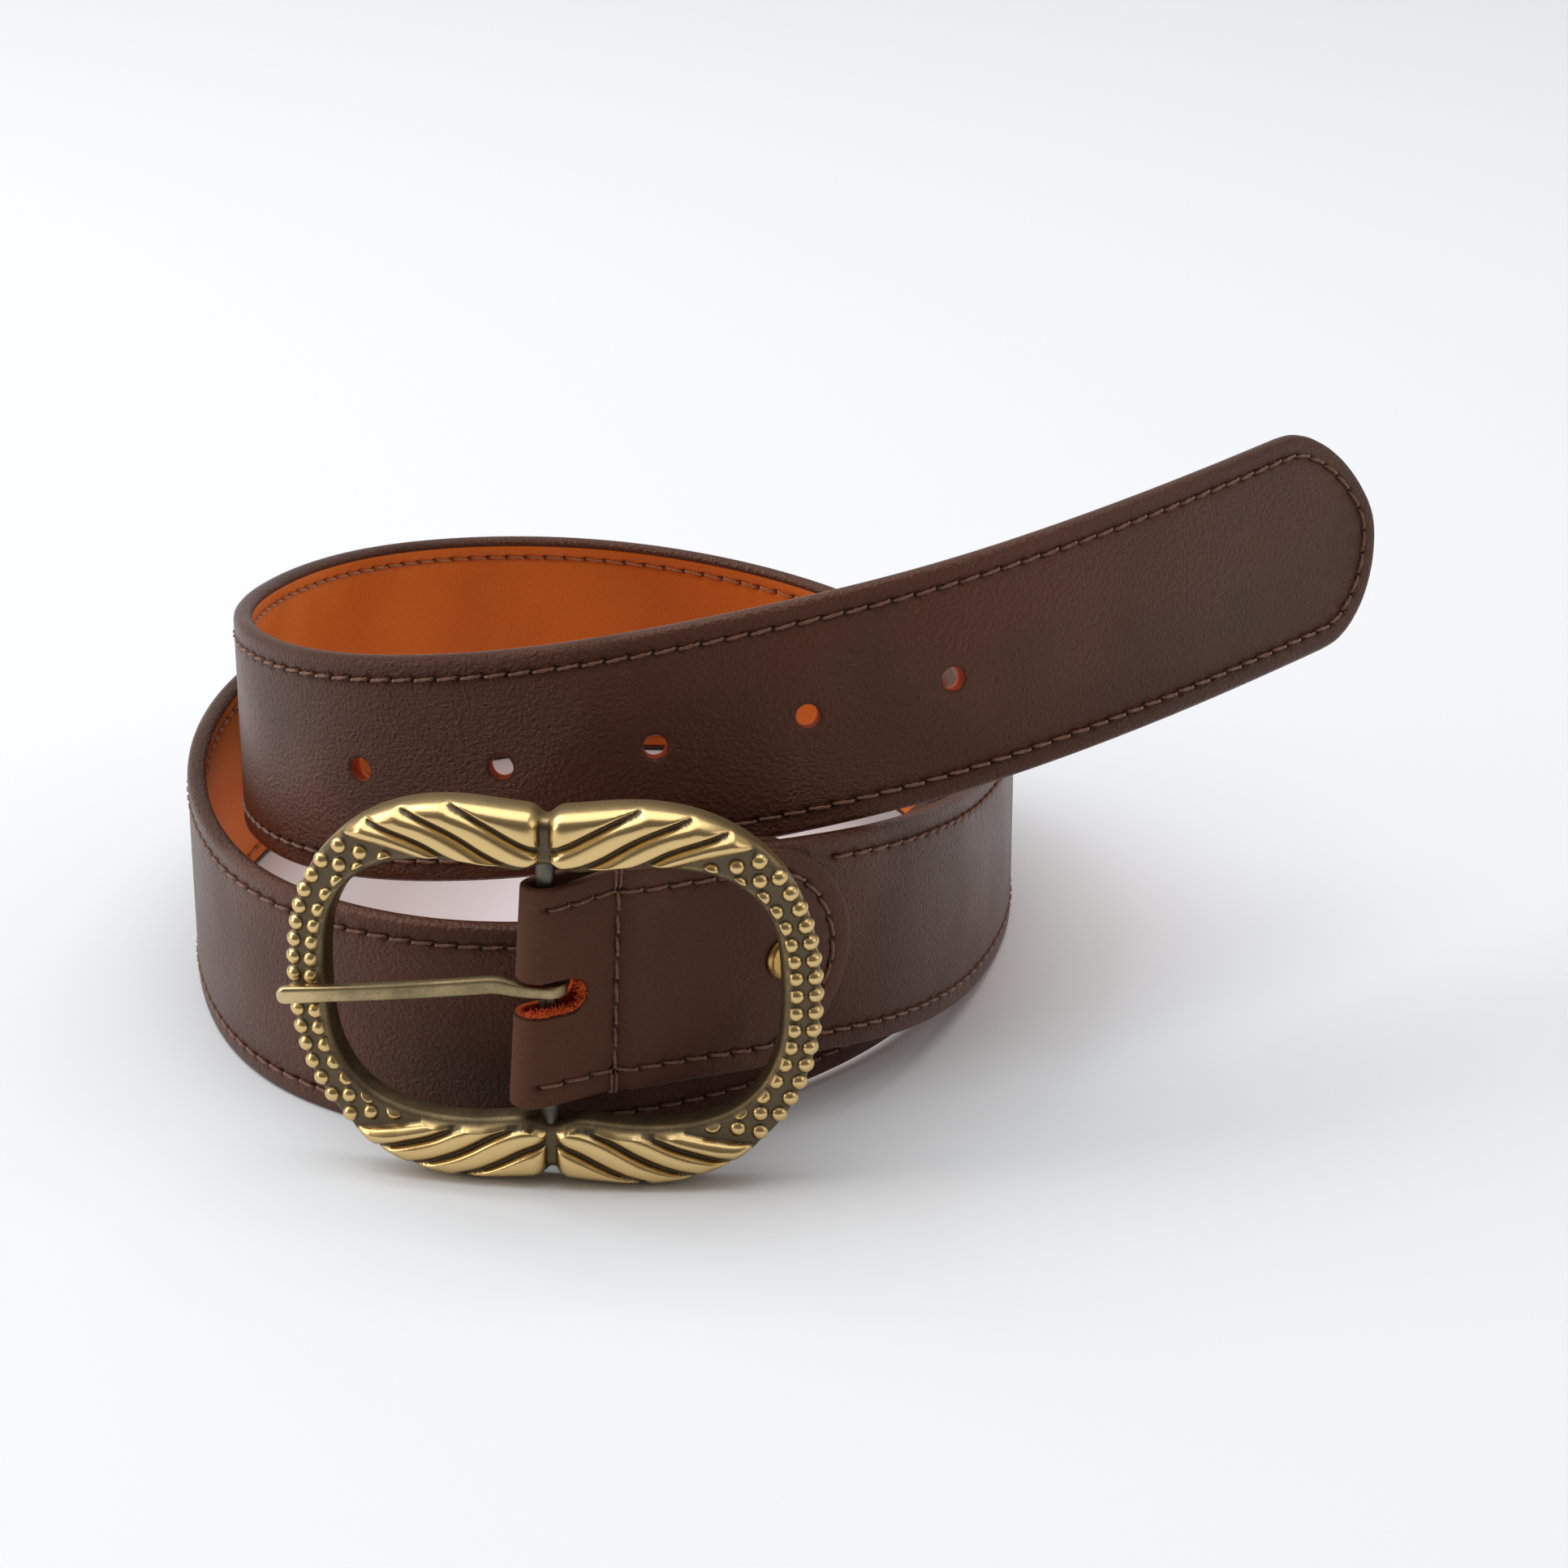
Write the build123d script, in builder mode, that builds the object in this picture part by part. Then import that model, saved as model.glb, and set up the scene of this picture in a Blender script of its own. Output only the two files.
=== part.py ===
from build123d import *
import os
from math import cos, radians, sin

# A leather dress belt with a centre-bar buckle, stored in a loose coil that stands on its lower edge.
# +Z is up, -Y is the side that the buckle faces, and the coil stands on Z = 0.

# ---- driving dimensions, mm ----
BELT_WIDTH = 38.0
FACE_THICKNESS = 1.7
LINING_THICKNESS = 1.5
STRAP_THICKNESS = FACE_THICKNESS + LINING_THICKNESS
LINING_SETBACK = 0.5          # the lining's edges stay inside the face leather's edges
GLUE_GAP = 0.08
LAP_GAP = 0.25                # between the strap and the tab's legs
EDGE_PRESS = 0.2              # how far the lower edge is pressed flat where the coil stands on it
HALF_WIDTH = BELT_WIDTH / 2
MIDDLE = STRAP_THICKNESS / 2

TAIL_LEAN = 17.0              # degrees that the tail's top edge leans inwards at the tip
LEAN_START = 880.0            # distance along the belt where the tail starts to lean
STATION_SPACING = 9.0
TIP_LENGTH = 23.0
SHOULDER_REACH = 0.72         # where the tip's shoulder lies, as shares of its length and half width
SHOULDER_WIDTH = 0.66
CUT_MARGIN = 0.8              # the tip's curve starts this far outside the leather's edge
THROUGH = 10.0                # more than the thickness of anything that is cut through

HOLE_RADIUS = 1.9
HOLE_SPACING = 25.0
FIRST_HOLE = 918.0
HOLE_COUNT = 5

STITCH_INSET = 3.7
THREAD_WIDTH = 0.8
THREAD_HEIGHT = 0.25

TAB_THICKNESS = 1.8
TAB_LENGTH = 54.0
TAB_ROUNDING = 17.0
STRAP_START = 15.0            # the strap's cut end, just past the cross seam
CROSS_SEAM = 12.0
SEAM_END_GAP = 0.5            # the cross seam stops this far inside the tab's edges
SEAM_SPACING = 0.6            # the long rows stay this far from the middle of the cross seam
TAB_ROW_START = 3.0
STRAP_ROW_LEAD = 6.0          # the strap's rows start this far inside the tab's rounded end
SLOT_HEIGHT = 5.5
SLOT_DROP = 0.55              # the prong slot's middle lies this far below the tab's middle
SLOT_REACH = 4.6              # how far the prong slot runs past the bar, on both legs

BAR_RADIUS = 1.5
BAR_LENGTH = 54.0
BAR_PLACE = 1.2               # distance from the fold's centre to the bar

SCREW_PLACE = 41.5
SCREW_HEAD_RADIUS = 3.8
SCREW_HEAD_HEIGHT = 1.1
SCREW_HEAD_ROUNDING = 0.7
SCREW_END_GAP = 0.5           # the screw's end stops short of the post's closed head
SCREW_SLOT_WIDTH = 1.0
SCREW_SLOT_DEPTH = 0.5
POST_RADIUS = 2.2
SHANK_RADIUS = 1.4
SCREW_CLEARANCE = 0.05
SEAT_GAP = 0.12               # the flat heads touch the curved leather only near their middles

FRAME_WIDTH = 84.2
FRAME_HEIGHT = 65.2
FRAME_CORNER = 25.2
FRAME_SHIFT = 0.4             # the ring's middle lies this far to the right of the bar
OPENING_WIDTH = 72.8
OPENING_HEIGHT = 43.6
OPENING_CORNER = 19.0
BOW_RADIUS = 161.0            # the ring is bowed backwards on both sides, to fit the waist
BUCKLE_TURN = 5.8             # degrees that the buckle's left side hangs back
FRAME_BACK = 2.2              # from the bar's axis to the frame's flat back
FRAME_FRONT = 2.6             # from the bar's axis to the ring's front
FRAME_ROUNDING = 0.8
LOBE_RISE = 2.2
LOBE_STEP = 1.2
LOBE_ROOT = 0.3               # how deep the lobes are sunk into the ring
BOW_REACH = 12.0              # more than the bow's depth, for shapes that are trimmed to it
BUCKLE_HEIGHT = FRAME_HEIGHT / 2

# Outlines in the ring's upper right quarter, as (right of the bar, above the middle).
NECK_NOTCH = [(9.0, FRAME_HEIGHT / 2), (4.2, 31.6), (1.6, 30.0)]
LOBE_CROWN = [(1.6, 28.6), (7.0, 31.0), (16.8, 31.9)]
LOBE_SHOULDER = [(16.8, 31.9), (25.0, 30.6), (32.0, 27.3)]
LOBE_UNDERSIDE = [(32.0, 27.3), (22.0, 24.0), (12.0, 22.8)]
LOBE_NECK = [(12.0, 22.8), (1.6, 22.8), (1.6, 28.6)]

PRONG_EYE_RADIUS = 3.1
PRONG_THICKNESS = 2.2
PRONG_WIDTH = 2.9
PRONG_HEIGHT = 33.5
PRONG_DROP = 3.6              # degrees that the arm slopes down towards its tip
RUNNING_CLEARANCE = 0.08
# The middle of the prong's arm seen from above, as (right of the bar, behind the bar).
PRONG_ARM = [(1.0, -2.0), (-3.5, -2.1), (-9.8, -1.6), (-25.0, -1.4), (-41.6, -0.4)]

# The belt's route: the middle of its outer face, from the bar to the tip. It runs once round
# the coil on the floor, then climbs inside its own start and crosses over it to the free tail.
ROUTE = [
    (-38.5, -87.5, 33.3), (-5.5, -70.0, 31.4), (13.0, -56.5, 28.8), (24.0, -39.5, 25.0),
    (33.0, -15.5, 20.5), (40.0, 20.5, 18.8), (32.5, 59.5, 18.8), (6.0, 89.0, 18.8),
    (-33.0, 100.0, 18.8), (-71.0, 88.5, 18.8), (-97.0, 58.0, 18.8), (-106.5, 18.0, 18.8),
    (-102.0, -22.0, 18.8), (-85.5, -54.5, 18.8), (-58.0, -71.0, 18.8), (-28.0, -71.0, 19.3),
    (1.5, -55.0, 20.0), (24.0, -25.0, 20.5), (31.5, 14.0, 22.0), (23.0, 51.5, 24.5),
    (-5.0, 75.0, 28.0), (-43.0, 77.5, 33.0), (-77.0, 58.0, 38.0), (-94.0, 20.5, 44.0),
    (-93.5, -18.0, 50.0), (-75.0, -47.5, 55.0), (-44.0, -58.5, 59.5), (-10.5, -55.5, 64.0),
    (20.5, -48.5, 69.0), (49.0, -32.0, 72.5), (75.5, -8.5, 74.5), (103.0, 20.0, 76.0),
]

# The origin is the middle of the whole object's footprint.
FOOTPRINT_CENTRE = (-1.85, 4.27)
route = Spline([(x - FOOTPRINT_CENTRE[0], y - FOOTPRINT_CENTRE[1], z) for x, y, z in ROUTE])
BELT_LENGTH = route.length


def station(distance, inward=0.0):
    """Plane across the belt: x points inwards through the leather, y up the width, z along it."""
    share = min(max(distance / BELT_LENGTH, 0.0), 1.0)
    along = route % share
    level = Vector(along.X, along.Y, 0).normalized()
    outward = Vector(level.Y, -level.X, 0)
    lean = radians(TAIL_LEAN) * max(0.0, (distance - LEAN_START) / (BELT_LENGTH - LEAN_START))
    upright = Vector(0, 0, 1) * cos(lean) - outward * sin(lean)
    inward_axis = (upright - along * upright.dot(along)).cross(along).normalized()
    centre = route @ share
    centre.Z = max(centre.Z, HALF_WIDTH - EDGE_PRESS)
    return Plane(origin=centre + inward_axis * inward, x_dir=inward_axis, z_dir=along)


def face_plane(distance, inward=0.0):
    """Plane on the belt's face: x along the belt, y up the width, z straight out of the face."""
    across = station(distance, inward)
    return Plane(origin=across.origin, x_dir=across.z_dir, z_dir=across.x_dir * -1)


def ribbon(start, end, inner, thickness, low, high):
    """Add a strip that follows the belt: four ruled sides between the rails of its corners."""
    count = max(3, round((end - start) / STATION_SPACING))
    stations = [station(start + (end - start) * step / count) for step in range(count + 1)]
    corners = [(inner, low), (inner, high), (inner + thickness, high), (inner + thickness, low)]
    rows = [[plane.from_local_coords(corner) for plane in stations] for corner in corners]
    rails = [Edge.make_spline(row) for row in rows]
    sides = [Face.make_surface_from_curves(rails[index - 1], rails[index]) for index in range(4)]
    ends = [Face(Wire.make_polygon([row[which] for row in rows], close=True)) for which in (0, -1)]
    add(Solid(Shell(sides + ends)))


def round_off(end, length, half_width):
    """Cut the active part's end to the rounded point that ends at the given distance."""
    outside = half_width + CUT_MARGIN
    shoulder = (length * SHOULDER_REACH, half_width * SHOULDER_WIDTH)
    with BuildSketch(face_plane(end - length)) as waste:
        with Locations((length, 0)):
            Rectangle(2 * length, 4 * half_width)
        with BuildLine():
            Polyline((0, outside), (-2 * length, outside), (-2 * length, -outside), (0, -outside))
            ThreePointArc((0, -outside), (shoulder[0], -shoulder[1]), (length, 0))
            ThreePointArc((length, 0), shoulder, (0, outside))
        make_face(mode=Mode.SUBTRACT)
    extrude(waste.sketch, amount=THROUGH, both=True, mode=Mode.SUBTRACT)


def finish(part, name):
    part.label = name
    export_step(part, f"parts/{name}.step")


os.makedirs("parts", exist_ok=True)

# ---- the strap: two leathers, glued and stitched ----
hole_places = [FIRST_HOLE + HOLE_SPACING * index for index in range(HOLE_COUNT)]


def punch(distance, radius):
    with BuildSketch(face_plane(distance)) as disc:
        Circle(radius)
    extrude(disc.sketch, amount=THROUGH, both=True, mode=Mode.SUBTRACT)


with BuildPart() as strap_face:
    ribbon(STRAP_START, BELT_LENGTH, 0, FACE_THICKNESS, -HALF_WIDTH, HALF_WIDTH)
    round_off(BELT_LENGTH, TIP_LENGTH, HALF_WIDTH)
    split(bisect_by=Plane.XY, keep=Keep.TOP)
    for place in hole_places:
        punch(place, HOLE_RADIUS)
    punch(SCREW_PLACE, POST_RADIUS + SCREW_CLEARANCE)
finish(strap_face.part, "strap_face")

lining_half = HALF_WIDTH - LINING_SETBACK
with BuildPart() as strap_lining:
    ribbon(STRAP_START, BELT_LENGTH, FACE_THICKNESS + GLUE_GAP, LINING_THICKNESS - GLUE_GAP,
           -lining_half, lining_half)
    round_off(BELT_LENGTH - LINING_SETBACK, TIP_LENGTH, lining_half)
    for place in hole_places:
        punch(place, HOLE_RADIUS)
    punch(SCREW_PLACE, POST_RADIUS + SCREW_CLEARANCE)
finish(strap_lining.part, "strap_lining")


def stitch_rows(inner, spans, rows):
    for start, end in spans:
        for middle in rows:
            ribbon(start, end, inner, THREAD_HEIGHT, middle - THREAD_WIDTH / 2, middle + THREAD_WIDTH / 2)


stitch_row = HALF_WIDTH - STITCH_INSET
strap_spans = [(TAB_LENGTH - STRAP_ROW_LEAD, BELT_LENGTH - TIP_LENGTH)]
with BuildPart() as face_thread:
    stitch_rows(-THREAD_HEIGHT - GLUE_GAP, strap_spans, (-stitch_row, stitch_row))
finish(face_thread.part, "face_thread")

with BuildPart() as lining_thread:
    stitch_rows(STRAP_THICKNESS + GLUE_GAP, strap_spans, (-stitch_row, stitch_row))
finish(lining_thread.part, "lining_thread")

# ---- the buckle tab: one leather folded round the bar, its legs outside both faces of the strap ----
fold_plane = Plane(
    origin=station(0, MIDDLE).from_local_coords((0, -HALF_WIDTH)),
    x_dir=station(0).x_dir,
    z_dir=station(0).y_dir,
)
slot_half = SLOT_HEIGHT / 2
slot_end = BAR_PLACE + SLOT_REACH
with BuildPart() as buckle_tab:
    ribbon(0, TAB_LENGTH, -TAB_THICKNESS, TAB_THICKNESS - LAP_GAP, -HALF_WIDTH, HALF_WIDTH)
    ribbon(0, TAB_LENGTH, STRAP_THICKNESS + LAP_GAP, TAB_THICKNESS - LAP_GAP, -HALF_WIDTH, HALF_WIDTH)
    with BuildSketch(fold_plane) as fold:
        Circle(MIDDLE + TAB_THICKNESS)
        Circle(MIDDLE + LAP_GAP, mode=Mode.SUBTRACT)
        split(bisect_by=Plane.XZ, keep=Keep.BOTTOM)
    extrude(amount=BELT_WIDTH)
    round_off(TAB_LENGTH, TAB_ROUNDING, HALF_WIDTH)
    with BuildSketch(face_plane(0)):
        with Locations((slot_end - slot_half - THROUGH / 2, -SLOT_DROP)):
            Rectangle(THROUGH, SLOT_HEIGHT)
        with Locations((slot_end - slot_half, -SLOT_DROP)):
            Circle(slot_half)
    extrude(amount=THROUGH, both=True, mode=Mode.SUBTRACT)
    punch(SCREW_PLACE, POST_RADIUS + SCREW_CLEARANCE)
finish(buckle_tab.part, "buckle_tab")

tab_spans = [
    (TAB_ROW_START, CROSS_SEAM - SEAM_SPACING),
    (CROSS_SEAM + SEAM_SPACING, TAB_LENGTH - TAB_ROUNDING),
]
tab_surface = -TAB_THICKNESS - THREAD_HEIGHT - GLUE_GAP
with BuildPart() as tab_thread:
    stitch_rows(tab_surface, tab_spans, (-stitch_row, stitch_row))
finish(tab_thread.part, "tab_thread")

with BuildPart() as cross_seam_thread:
    ribbon(CROSS_SEAM - THREAD_WIDTH / 2, CROSS_SEAM + THREAD_WIDTH / 2, tab_surface, THREAD_HEIGHT,
           SEAM_END_GAP - HALF_WIDTH, HALF_WIDTH - SEAM_END_GAP)
finish(cross_seam_thread.part, "cross_seam_thread")

# ---- the two-part screw that clamps the tab to the strap ----
post_length = STRAP_THICKNESS + 2 * TAB_THICKNESS
outer_seat = face_plane(SCREW_PLACE, -TAB_THICKNESS - SEAT_GAP)
inner_seat = face_plane(SCREW_PLACE, STRAP_THICKNESS + TAB_THICKNESS + SEAT_GAP)
with BuildPart() as screw_post:
    with BuildSketch(outer_seat):
        Circle(SCREW_HEAD_RADIUS)
    extrude(amount=SCREW_HEAD_HEIGHT)
    cap = screw_post.faces().sort_by(Axis(outer_seat.origin, outer_seat.z_dir))[-1]
    fillet(cap.edges(), SCREW_HEAD_ROUNDING)
    with BuildSketch(outer_seat):
        Circle(POST_RADIUS)
    extrude(amount=-post_length)
    with BuildSketch(outer_seat):
        Circle(SHANK_RADIUS + SCREW_CLEARANCE)
    extrude(amount=-post_length, mode=Mode.SUBTRACT)
finish(screw_post.part, "screw_post")

with BuildPart() as screw:
    with BuildSketch(inner_seat):
        Circle(SCREW_HEAD_RADIUS)
    extrude(amount=-SCREW_HEAD_HEIGHT)
    with BuildSketch(inner_seat.offset(-SCREW_HEAD_HEIGHT)):
        Rectangle(2 * SCREW_HEAD_RADIUS + SCREW_SLOT_WIDTH, SCREW_SLOT_WIDTH)
    extrude(amount=SCREW_SLOT_DEPTH, mode=Mode.SUBTRACT)
    with BuildSketch(inner_seat):
        Circle(SHANK_RADIUS)
    extrude(amount=post_length - SCREW_END_GAP)
finish(screw.part, "screw")

# ---- the buckle: a ring with four swelling lobes, and the bar pressed into its middle ----
bar_axis = station(BAR_PLACE, MIDDLE).origin
sideways = (cos(radians(BUCKLE_TURN)), -sin(radians(BUCKLE_TURN)), 0)
bar_plane = Plane(origin=(bar_axis.X, bar_axis.Y, BUCKLE_HEIGHT), x_dir=sideways, z_dir=(0, 0, 1))
buckle_plane = Plane(origin=bar_plane.origin, x_dir=sideways, z_dir=bar_plane.y_dir * -1)
bow_plane = Plane(origin=bar_plane.from_local_coords((0, BOW_RADIUS, 0)), x_dir=sideways, z_dir=(0, 0, 1))

with BuildPart() as centre_bar:
    with BuildSketch(bar_plane):
        Circle(BAR_RADIUS)
    extrude(amount=BAR_LENGTH / 2, both=True)
finish(centre_bar.part, "centre_bar")


def in_quarter(points, right, up):
    """Mirror points of the upper right quarter into another one."""
    return [(right * x, up * y) for x, y in points]


def keep_bowed(low, high):
    """Keep only the part of the active solid between two heights above the ring's bowed middle."""
    with BuildSketch(bow_plane) as band:
        Circle(BOW_RADIUS + high)
        Circle(BOW_RADIUS + low, mode=Mode.SUBTRACT)
    extrude(band.sketch, amount=FRAME_HEIGHT, both=True, mode=Mode.INTERSECT)


def lobes(inset, rise):
    """The four lobes as one stepped layer, sunk a little into the ring's front."""
    with BuildPart() as layer:
        for right, up in ((1, 1), (-1, 1), (-1, -1), (1, -1)):
            with BuildSketch(buckle_plane):
                with BuildLine():
                    for arc in (LOBE_CROWN, LOBE_SHOULDER, LOBE_UNDERSIDE):
                        ThreePointArc(in_quarter(arc, right, up))
                    Polyline(in_quarter(LOBE_NECK, right, up))
                make_face()
                if inset:
                    offset(amount=-inset, kind=Kind.INTERSECTION, mode=Mode.REPLACE)
            extrude(amount=BOW_REACH, both=True)
        keep_bowed(FRAME_FRONT - LOBE_ROOT, FRAME_FRONT + rise)
    return layer.part


lobe_layers = [lobes(0, LOBE_RISE / 2), lobes(LOBE_STEP, LOBE_RISE)]
with BuildPart() as buckle_frame:
    with BuildSketch(buckle_plane):
        with Locations((FRAME_SHIFT, 0)):
            RectangleRounded(FRAME_WIDTH, FRAME_HEIGHT, FRAME_CORNER)
            RectangleRounded(OPENING_WIDTH, OPENING_HEIGHT, OPENING_CORNER, mode=Mode.SUBTRACT)
        for up in (1, -1):
            with BuildLine():
                Polyline(in_quarter(NECK_NOTCH, -1, up) + in_quarter(NECK_NOTCH, 1, up)[::-1], close=True)
            make_face(mode=Mode.SUBTRACT)
    extrude(amount=BOW_REACH, both=True)
    keep_bowed(-FRAME_BACK, FRAME_FRONT)
    front = buckle_frame.faces().sort_by(Axis(buckle_plane.origin, buckle_plane.z_dir))[-1]
    chamfer(front.edges(), FRAME_ROUNDING)
    for layer in lobe_layers:
        add(layer)
    with BuildSketch(bar_plane):
        Circle(BAR_RADIUS)
    extrude(amount=BAR_LENGTH / 2, both=True, mode=Mode.SUBTRACT)
finish(buckle_frame.part, "buckle_frame")

# ---- the prong: an eye round the bar and an arm that rests on the ring's left side ----
prong_plane = Plane(origin=(bar_axis.X, bar_axis.Y, PRONG_HEIGHT), x_dir=sideways, z_dir=(0, 0, 1))
arm_plane = prong_plane.rotated((0, -PRONG_DROP, 0))
with BuildPart() as prong:
    with BuildSketch(prong_plane):
        Circle(PRONG_EYE_RADIUS)
    extrude(amount=PRONG_WIDTH / 2, both=True)
    with BuildSketch(arm_plane):
        with BuildLine():
            Spline(PRONG_ARM)
        trace(line_width=PRONG_THICKNESS)
        with Locations(PRONG_ARM[-1]):
            Circle(PRONG_THICKNESS / 2)
    extrude(amount=PRONG_WIDTH / 2, both=True)
    with BuildSketch(prong_plane):
        Circle(BAR_RADIUS + RUNNING_CLEARANCE)
    extrude(amount=THROUGH, both=True, mode=Mode.SUBTRACT)
finish(prong.part, "prong")
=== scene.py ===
"""The looks of a coiled leather dress belt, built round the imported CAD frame.

Shapes are worked out in millimetres, in the CAD's frame, and put into Blender in metres.
The strap and the tab are drawn flat, as (distance along, height across, depth), then bent onto the route.
"""
import math

import bmesh
import bpy
import numpy as np
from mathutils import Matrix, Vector


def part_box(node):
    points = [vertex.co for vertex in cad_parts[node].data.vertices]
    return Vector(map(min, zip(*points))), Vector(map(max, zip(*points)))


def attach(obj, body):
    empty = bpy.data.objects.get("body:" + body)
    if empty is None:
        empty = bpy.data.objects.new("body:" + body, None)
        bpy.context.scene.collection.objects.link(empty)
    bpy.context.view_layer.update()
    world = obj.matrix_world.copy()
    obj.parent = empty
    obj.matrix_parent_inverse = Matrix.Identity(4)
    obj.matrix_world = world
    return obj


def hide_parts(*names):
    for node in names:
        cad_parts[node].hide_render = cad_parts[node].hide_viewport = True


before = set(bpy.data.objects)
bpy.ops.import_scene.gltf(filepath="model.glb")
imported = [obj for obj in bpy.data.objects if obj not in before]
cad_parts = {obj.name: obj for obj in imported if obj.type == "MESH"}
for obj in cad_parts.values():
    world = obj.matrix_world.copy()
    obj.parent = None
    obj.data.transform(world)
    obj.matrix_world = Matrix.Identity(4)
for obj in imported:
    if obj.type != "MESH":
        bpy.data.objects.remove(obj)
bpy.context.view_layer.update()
MM = 0.001

# ---- dimensions shared with the CAD, mm ----
BELT_WIDTH = 38.0
HALF = BELT_WIDTH / 2
THICKNESS = 3.2
FACE_THICKNESS = 1.7
EDGE_PRESS = 0.2
TAIL_LEAN = 17.0
LEAN_START = 880.0
TIP_LENGTH = 23.0
STRAP_START = 15.0
HOLE_RADIUS = 1.9
HOLE_PLACES = [918.0 + 25.0 * index for index in range(5)]
STITCH_INSET = 3.7
STITCH_PITCH = 4.0
THREAD_RADIUS = 0.25
TAB_THICKNESS = 1.8
TAB_LENGTH = 54.0
TAB_ROUNDING = 17.0
LAP_GAP = 0.25
CROSS_SEAM = 12.0
SCREW_PLACE = 41.5
SCREW_HOLE_RADIUS = 2.3
FRAME_BACK = 2.2
FRAME_FRONT = 2.6
FRAME_SHIFT = 0.4
BOW_RADIUS = 161.0
BUCKLE_TURN = math.radians(5.8)

FOOTPRINT_CENTRE = (-1.85, 4.27, 0.0)
ROUTE = np.array([
    (-38.5, -87.5, 33.3), (-5.5, -70.0, 31.4), (13.0, -56.5, 28.8), (24.0, -39.5, 25.0),
    (33.0, -15.5, 20.5), (40.0, 20.5, 18.8), (32.5, 59.5, 18.8), (6.0, 89.0, 18.8),
    (-33.0, 100.0, 18.8), (-71.0, 88.5, 18.8), (-97.0, 58.0, 18.8), (-106.5, 18.0, 18.8),
    (-102.0, -22.0, 18.8), (-85.5, -54.5, 18.8), (-58.0, -71.0, 18.8), (-28.0, -71.0, 19.3),
    (1.5, -55.0, 20.0), (24.0, -25.0, 20.5), (31.5, 14.0, 22.0), (23.0, 51.5, 24.5),
    (-5.0, 75.0, 28.0), (-43.0, 77.5, 33.0), (-77.0, 58.0, 38.0), (-94.0, 20.5, 44.0),
    (-93.5, -18.0, 50.0), (-75.0, -47.5, 55.0), (-44.0, -58.5, 59.5), (-10.5, -55.5, 64.0),
    (20.5, -48.5, 69.0), (49.0, -32.0, 72.5), (75.5, -8.5, 74.5), (103.0, 20.0, 76.0),
]) - FOOTPRINT_CENTRE


# ---------------------------------------------------------------- helpers
def unit(vectors):
    """The same directions with length 1."""
    return vectors / np.linalg.norm(vectors, axis=-1, keepdims=True)


def distances_along(points):
    """How far along the line through the points each one is."""
    return np.concatenate([[0], np.cumsum(np.linalg.norm(np.diff(points, axis=0), axis=1))])


def ease_in(value):
    """0 at 0 and 1 at 1, level at both."""
    value = np.clip(value, 0, 1)
    return value * value * (3 - 2 * value)


# ---------------------------------------------------------------- the route
def end_slope(knots, points, at):
    """Slope at one end of the cubic through four points."""
    slope = np.zeros(3)
    for j in range(4):
        total = 0.0
        for m in range(4):
            if m == j:
                continue
            product = 1 / (knots[j] - knots[m])
            for k in range(4):
                if k not in (j, m):
                    product *= (at - knots[k]) / (knots[j] - knots[k])
            total += product
        slope += points[j] * total
    return slope


class Route:
    """A cubic spline through the belt's points, read by distance along it."""

    def __init__(self, points):
        self.points = points
        gaps = np.linalg.norm(np.diff(points, axis=0), axis=1)
        self.knots = np.concatenate([[0], np.cumsum(gaps)])
        count = len(points)
        matrix, right = np.zeros((count, count)), np.zeros((count, 3))
        for i in range(1, count - 1):
            matrix[i, i - 1:i + 2] = gaps[i - 1], 2 * (gaps[i - 1] + gaps[i]), gaps[i]
            ahead = (points[i + 1] - points[i]) / gaps[i]
            behind = (points[i] - points[i - 1]) / gaps[i - 1]
            right[i] = 6 * (ahead - behind)
        first = end_slope(self.knots[:4], points[:4], self.knots[0])
        last = end_slope(self.knots[-4:], points[-4:], self.knots[-1])
        matrix[0, :2] = 2 * gaps[0], gaps[0]
        right[0] = 6 * ((points[1] - points[0]) / gaps[0] - first)
        matrix[-1, -2:] = gaps[-1], 2 * gaps[-1]
        right[-1] = 6 * (last - (points[-1] - points[-2]) / gaps[-1])
        self.bends = np.linalg.solve(matrix, right)
        self.fine = np.linspace(0, self.knots[-1], 20001)
        self.distances = distances_along(self.at_knot(self.fine)[0])
        self.length = self.distances[-1]

    def at_knot(self, knot):
        i = np.clip(np.searchsorted(self.knots, knot) - 1, 0, len(self.knots) - 2)
        gap = (self.knots[i + 1] - self.knots[i])[:, None]
        a = (self.knots[i + 1] - knot)[:, None] / gap
        b = 1 - a
        p, q, m, n = self.points[i], self.points[i + 1], self.bends[i], self.bends[i + 1]
        place = a * p + b * q + ((a**3 - a) * m + (b**3 - b) * n) * gap**2 / 6
        slope = (q - p) / gap + (-(3 * a**2 - 1) * m + (3 * b**2 - 1) * n) * gap / 6
        return place, slope

    def stations(self, distance):
        """Origin, inward axis, upward axis and forward axis for each distance."""
        place, along = self.at_knot(np.interp(distance, self.distances, self.fine))
        along = unit(along)
        level = unit(along * (1, 1, 0))
        outward = np.stack([level[:, 1], -level[:, 0], 0 * level[:, 0]], axis=1)
        share = np.clip((distance - LEAN_START) / (self.length - LEAN_START), 0, None)
        lean = np.radians(TAIL_LEAN * share)[:, None]
        upright = np.array([[0, 0, 1.0]]) * np.cos(lean) - outward * np.sin(lean)
        upright = upright - along * (upright * along).sum(1)[:, None]
        inward = unit(np.cross(upright, along))
        place[:, 2] = np.maximum(place[:, 2], HALF - EDGE_PRESS)
        return place, inward, np.cross(along, inward), along


route = Route(ROUTE)
LENGTH = route.length


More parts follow.
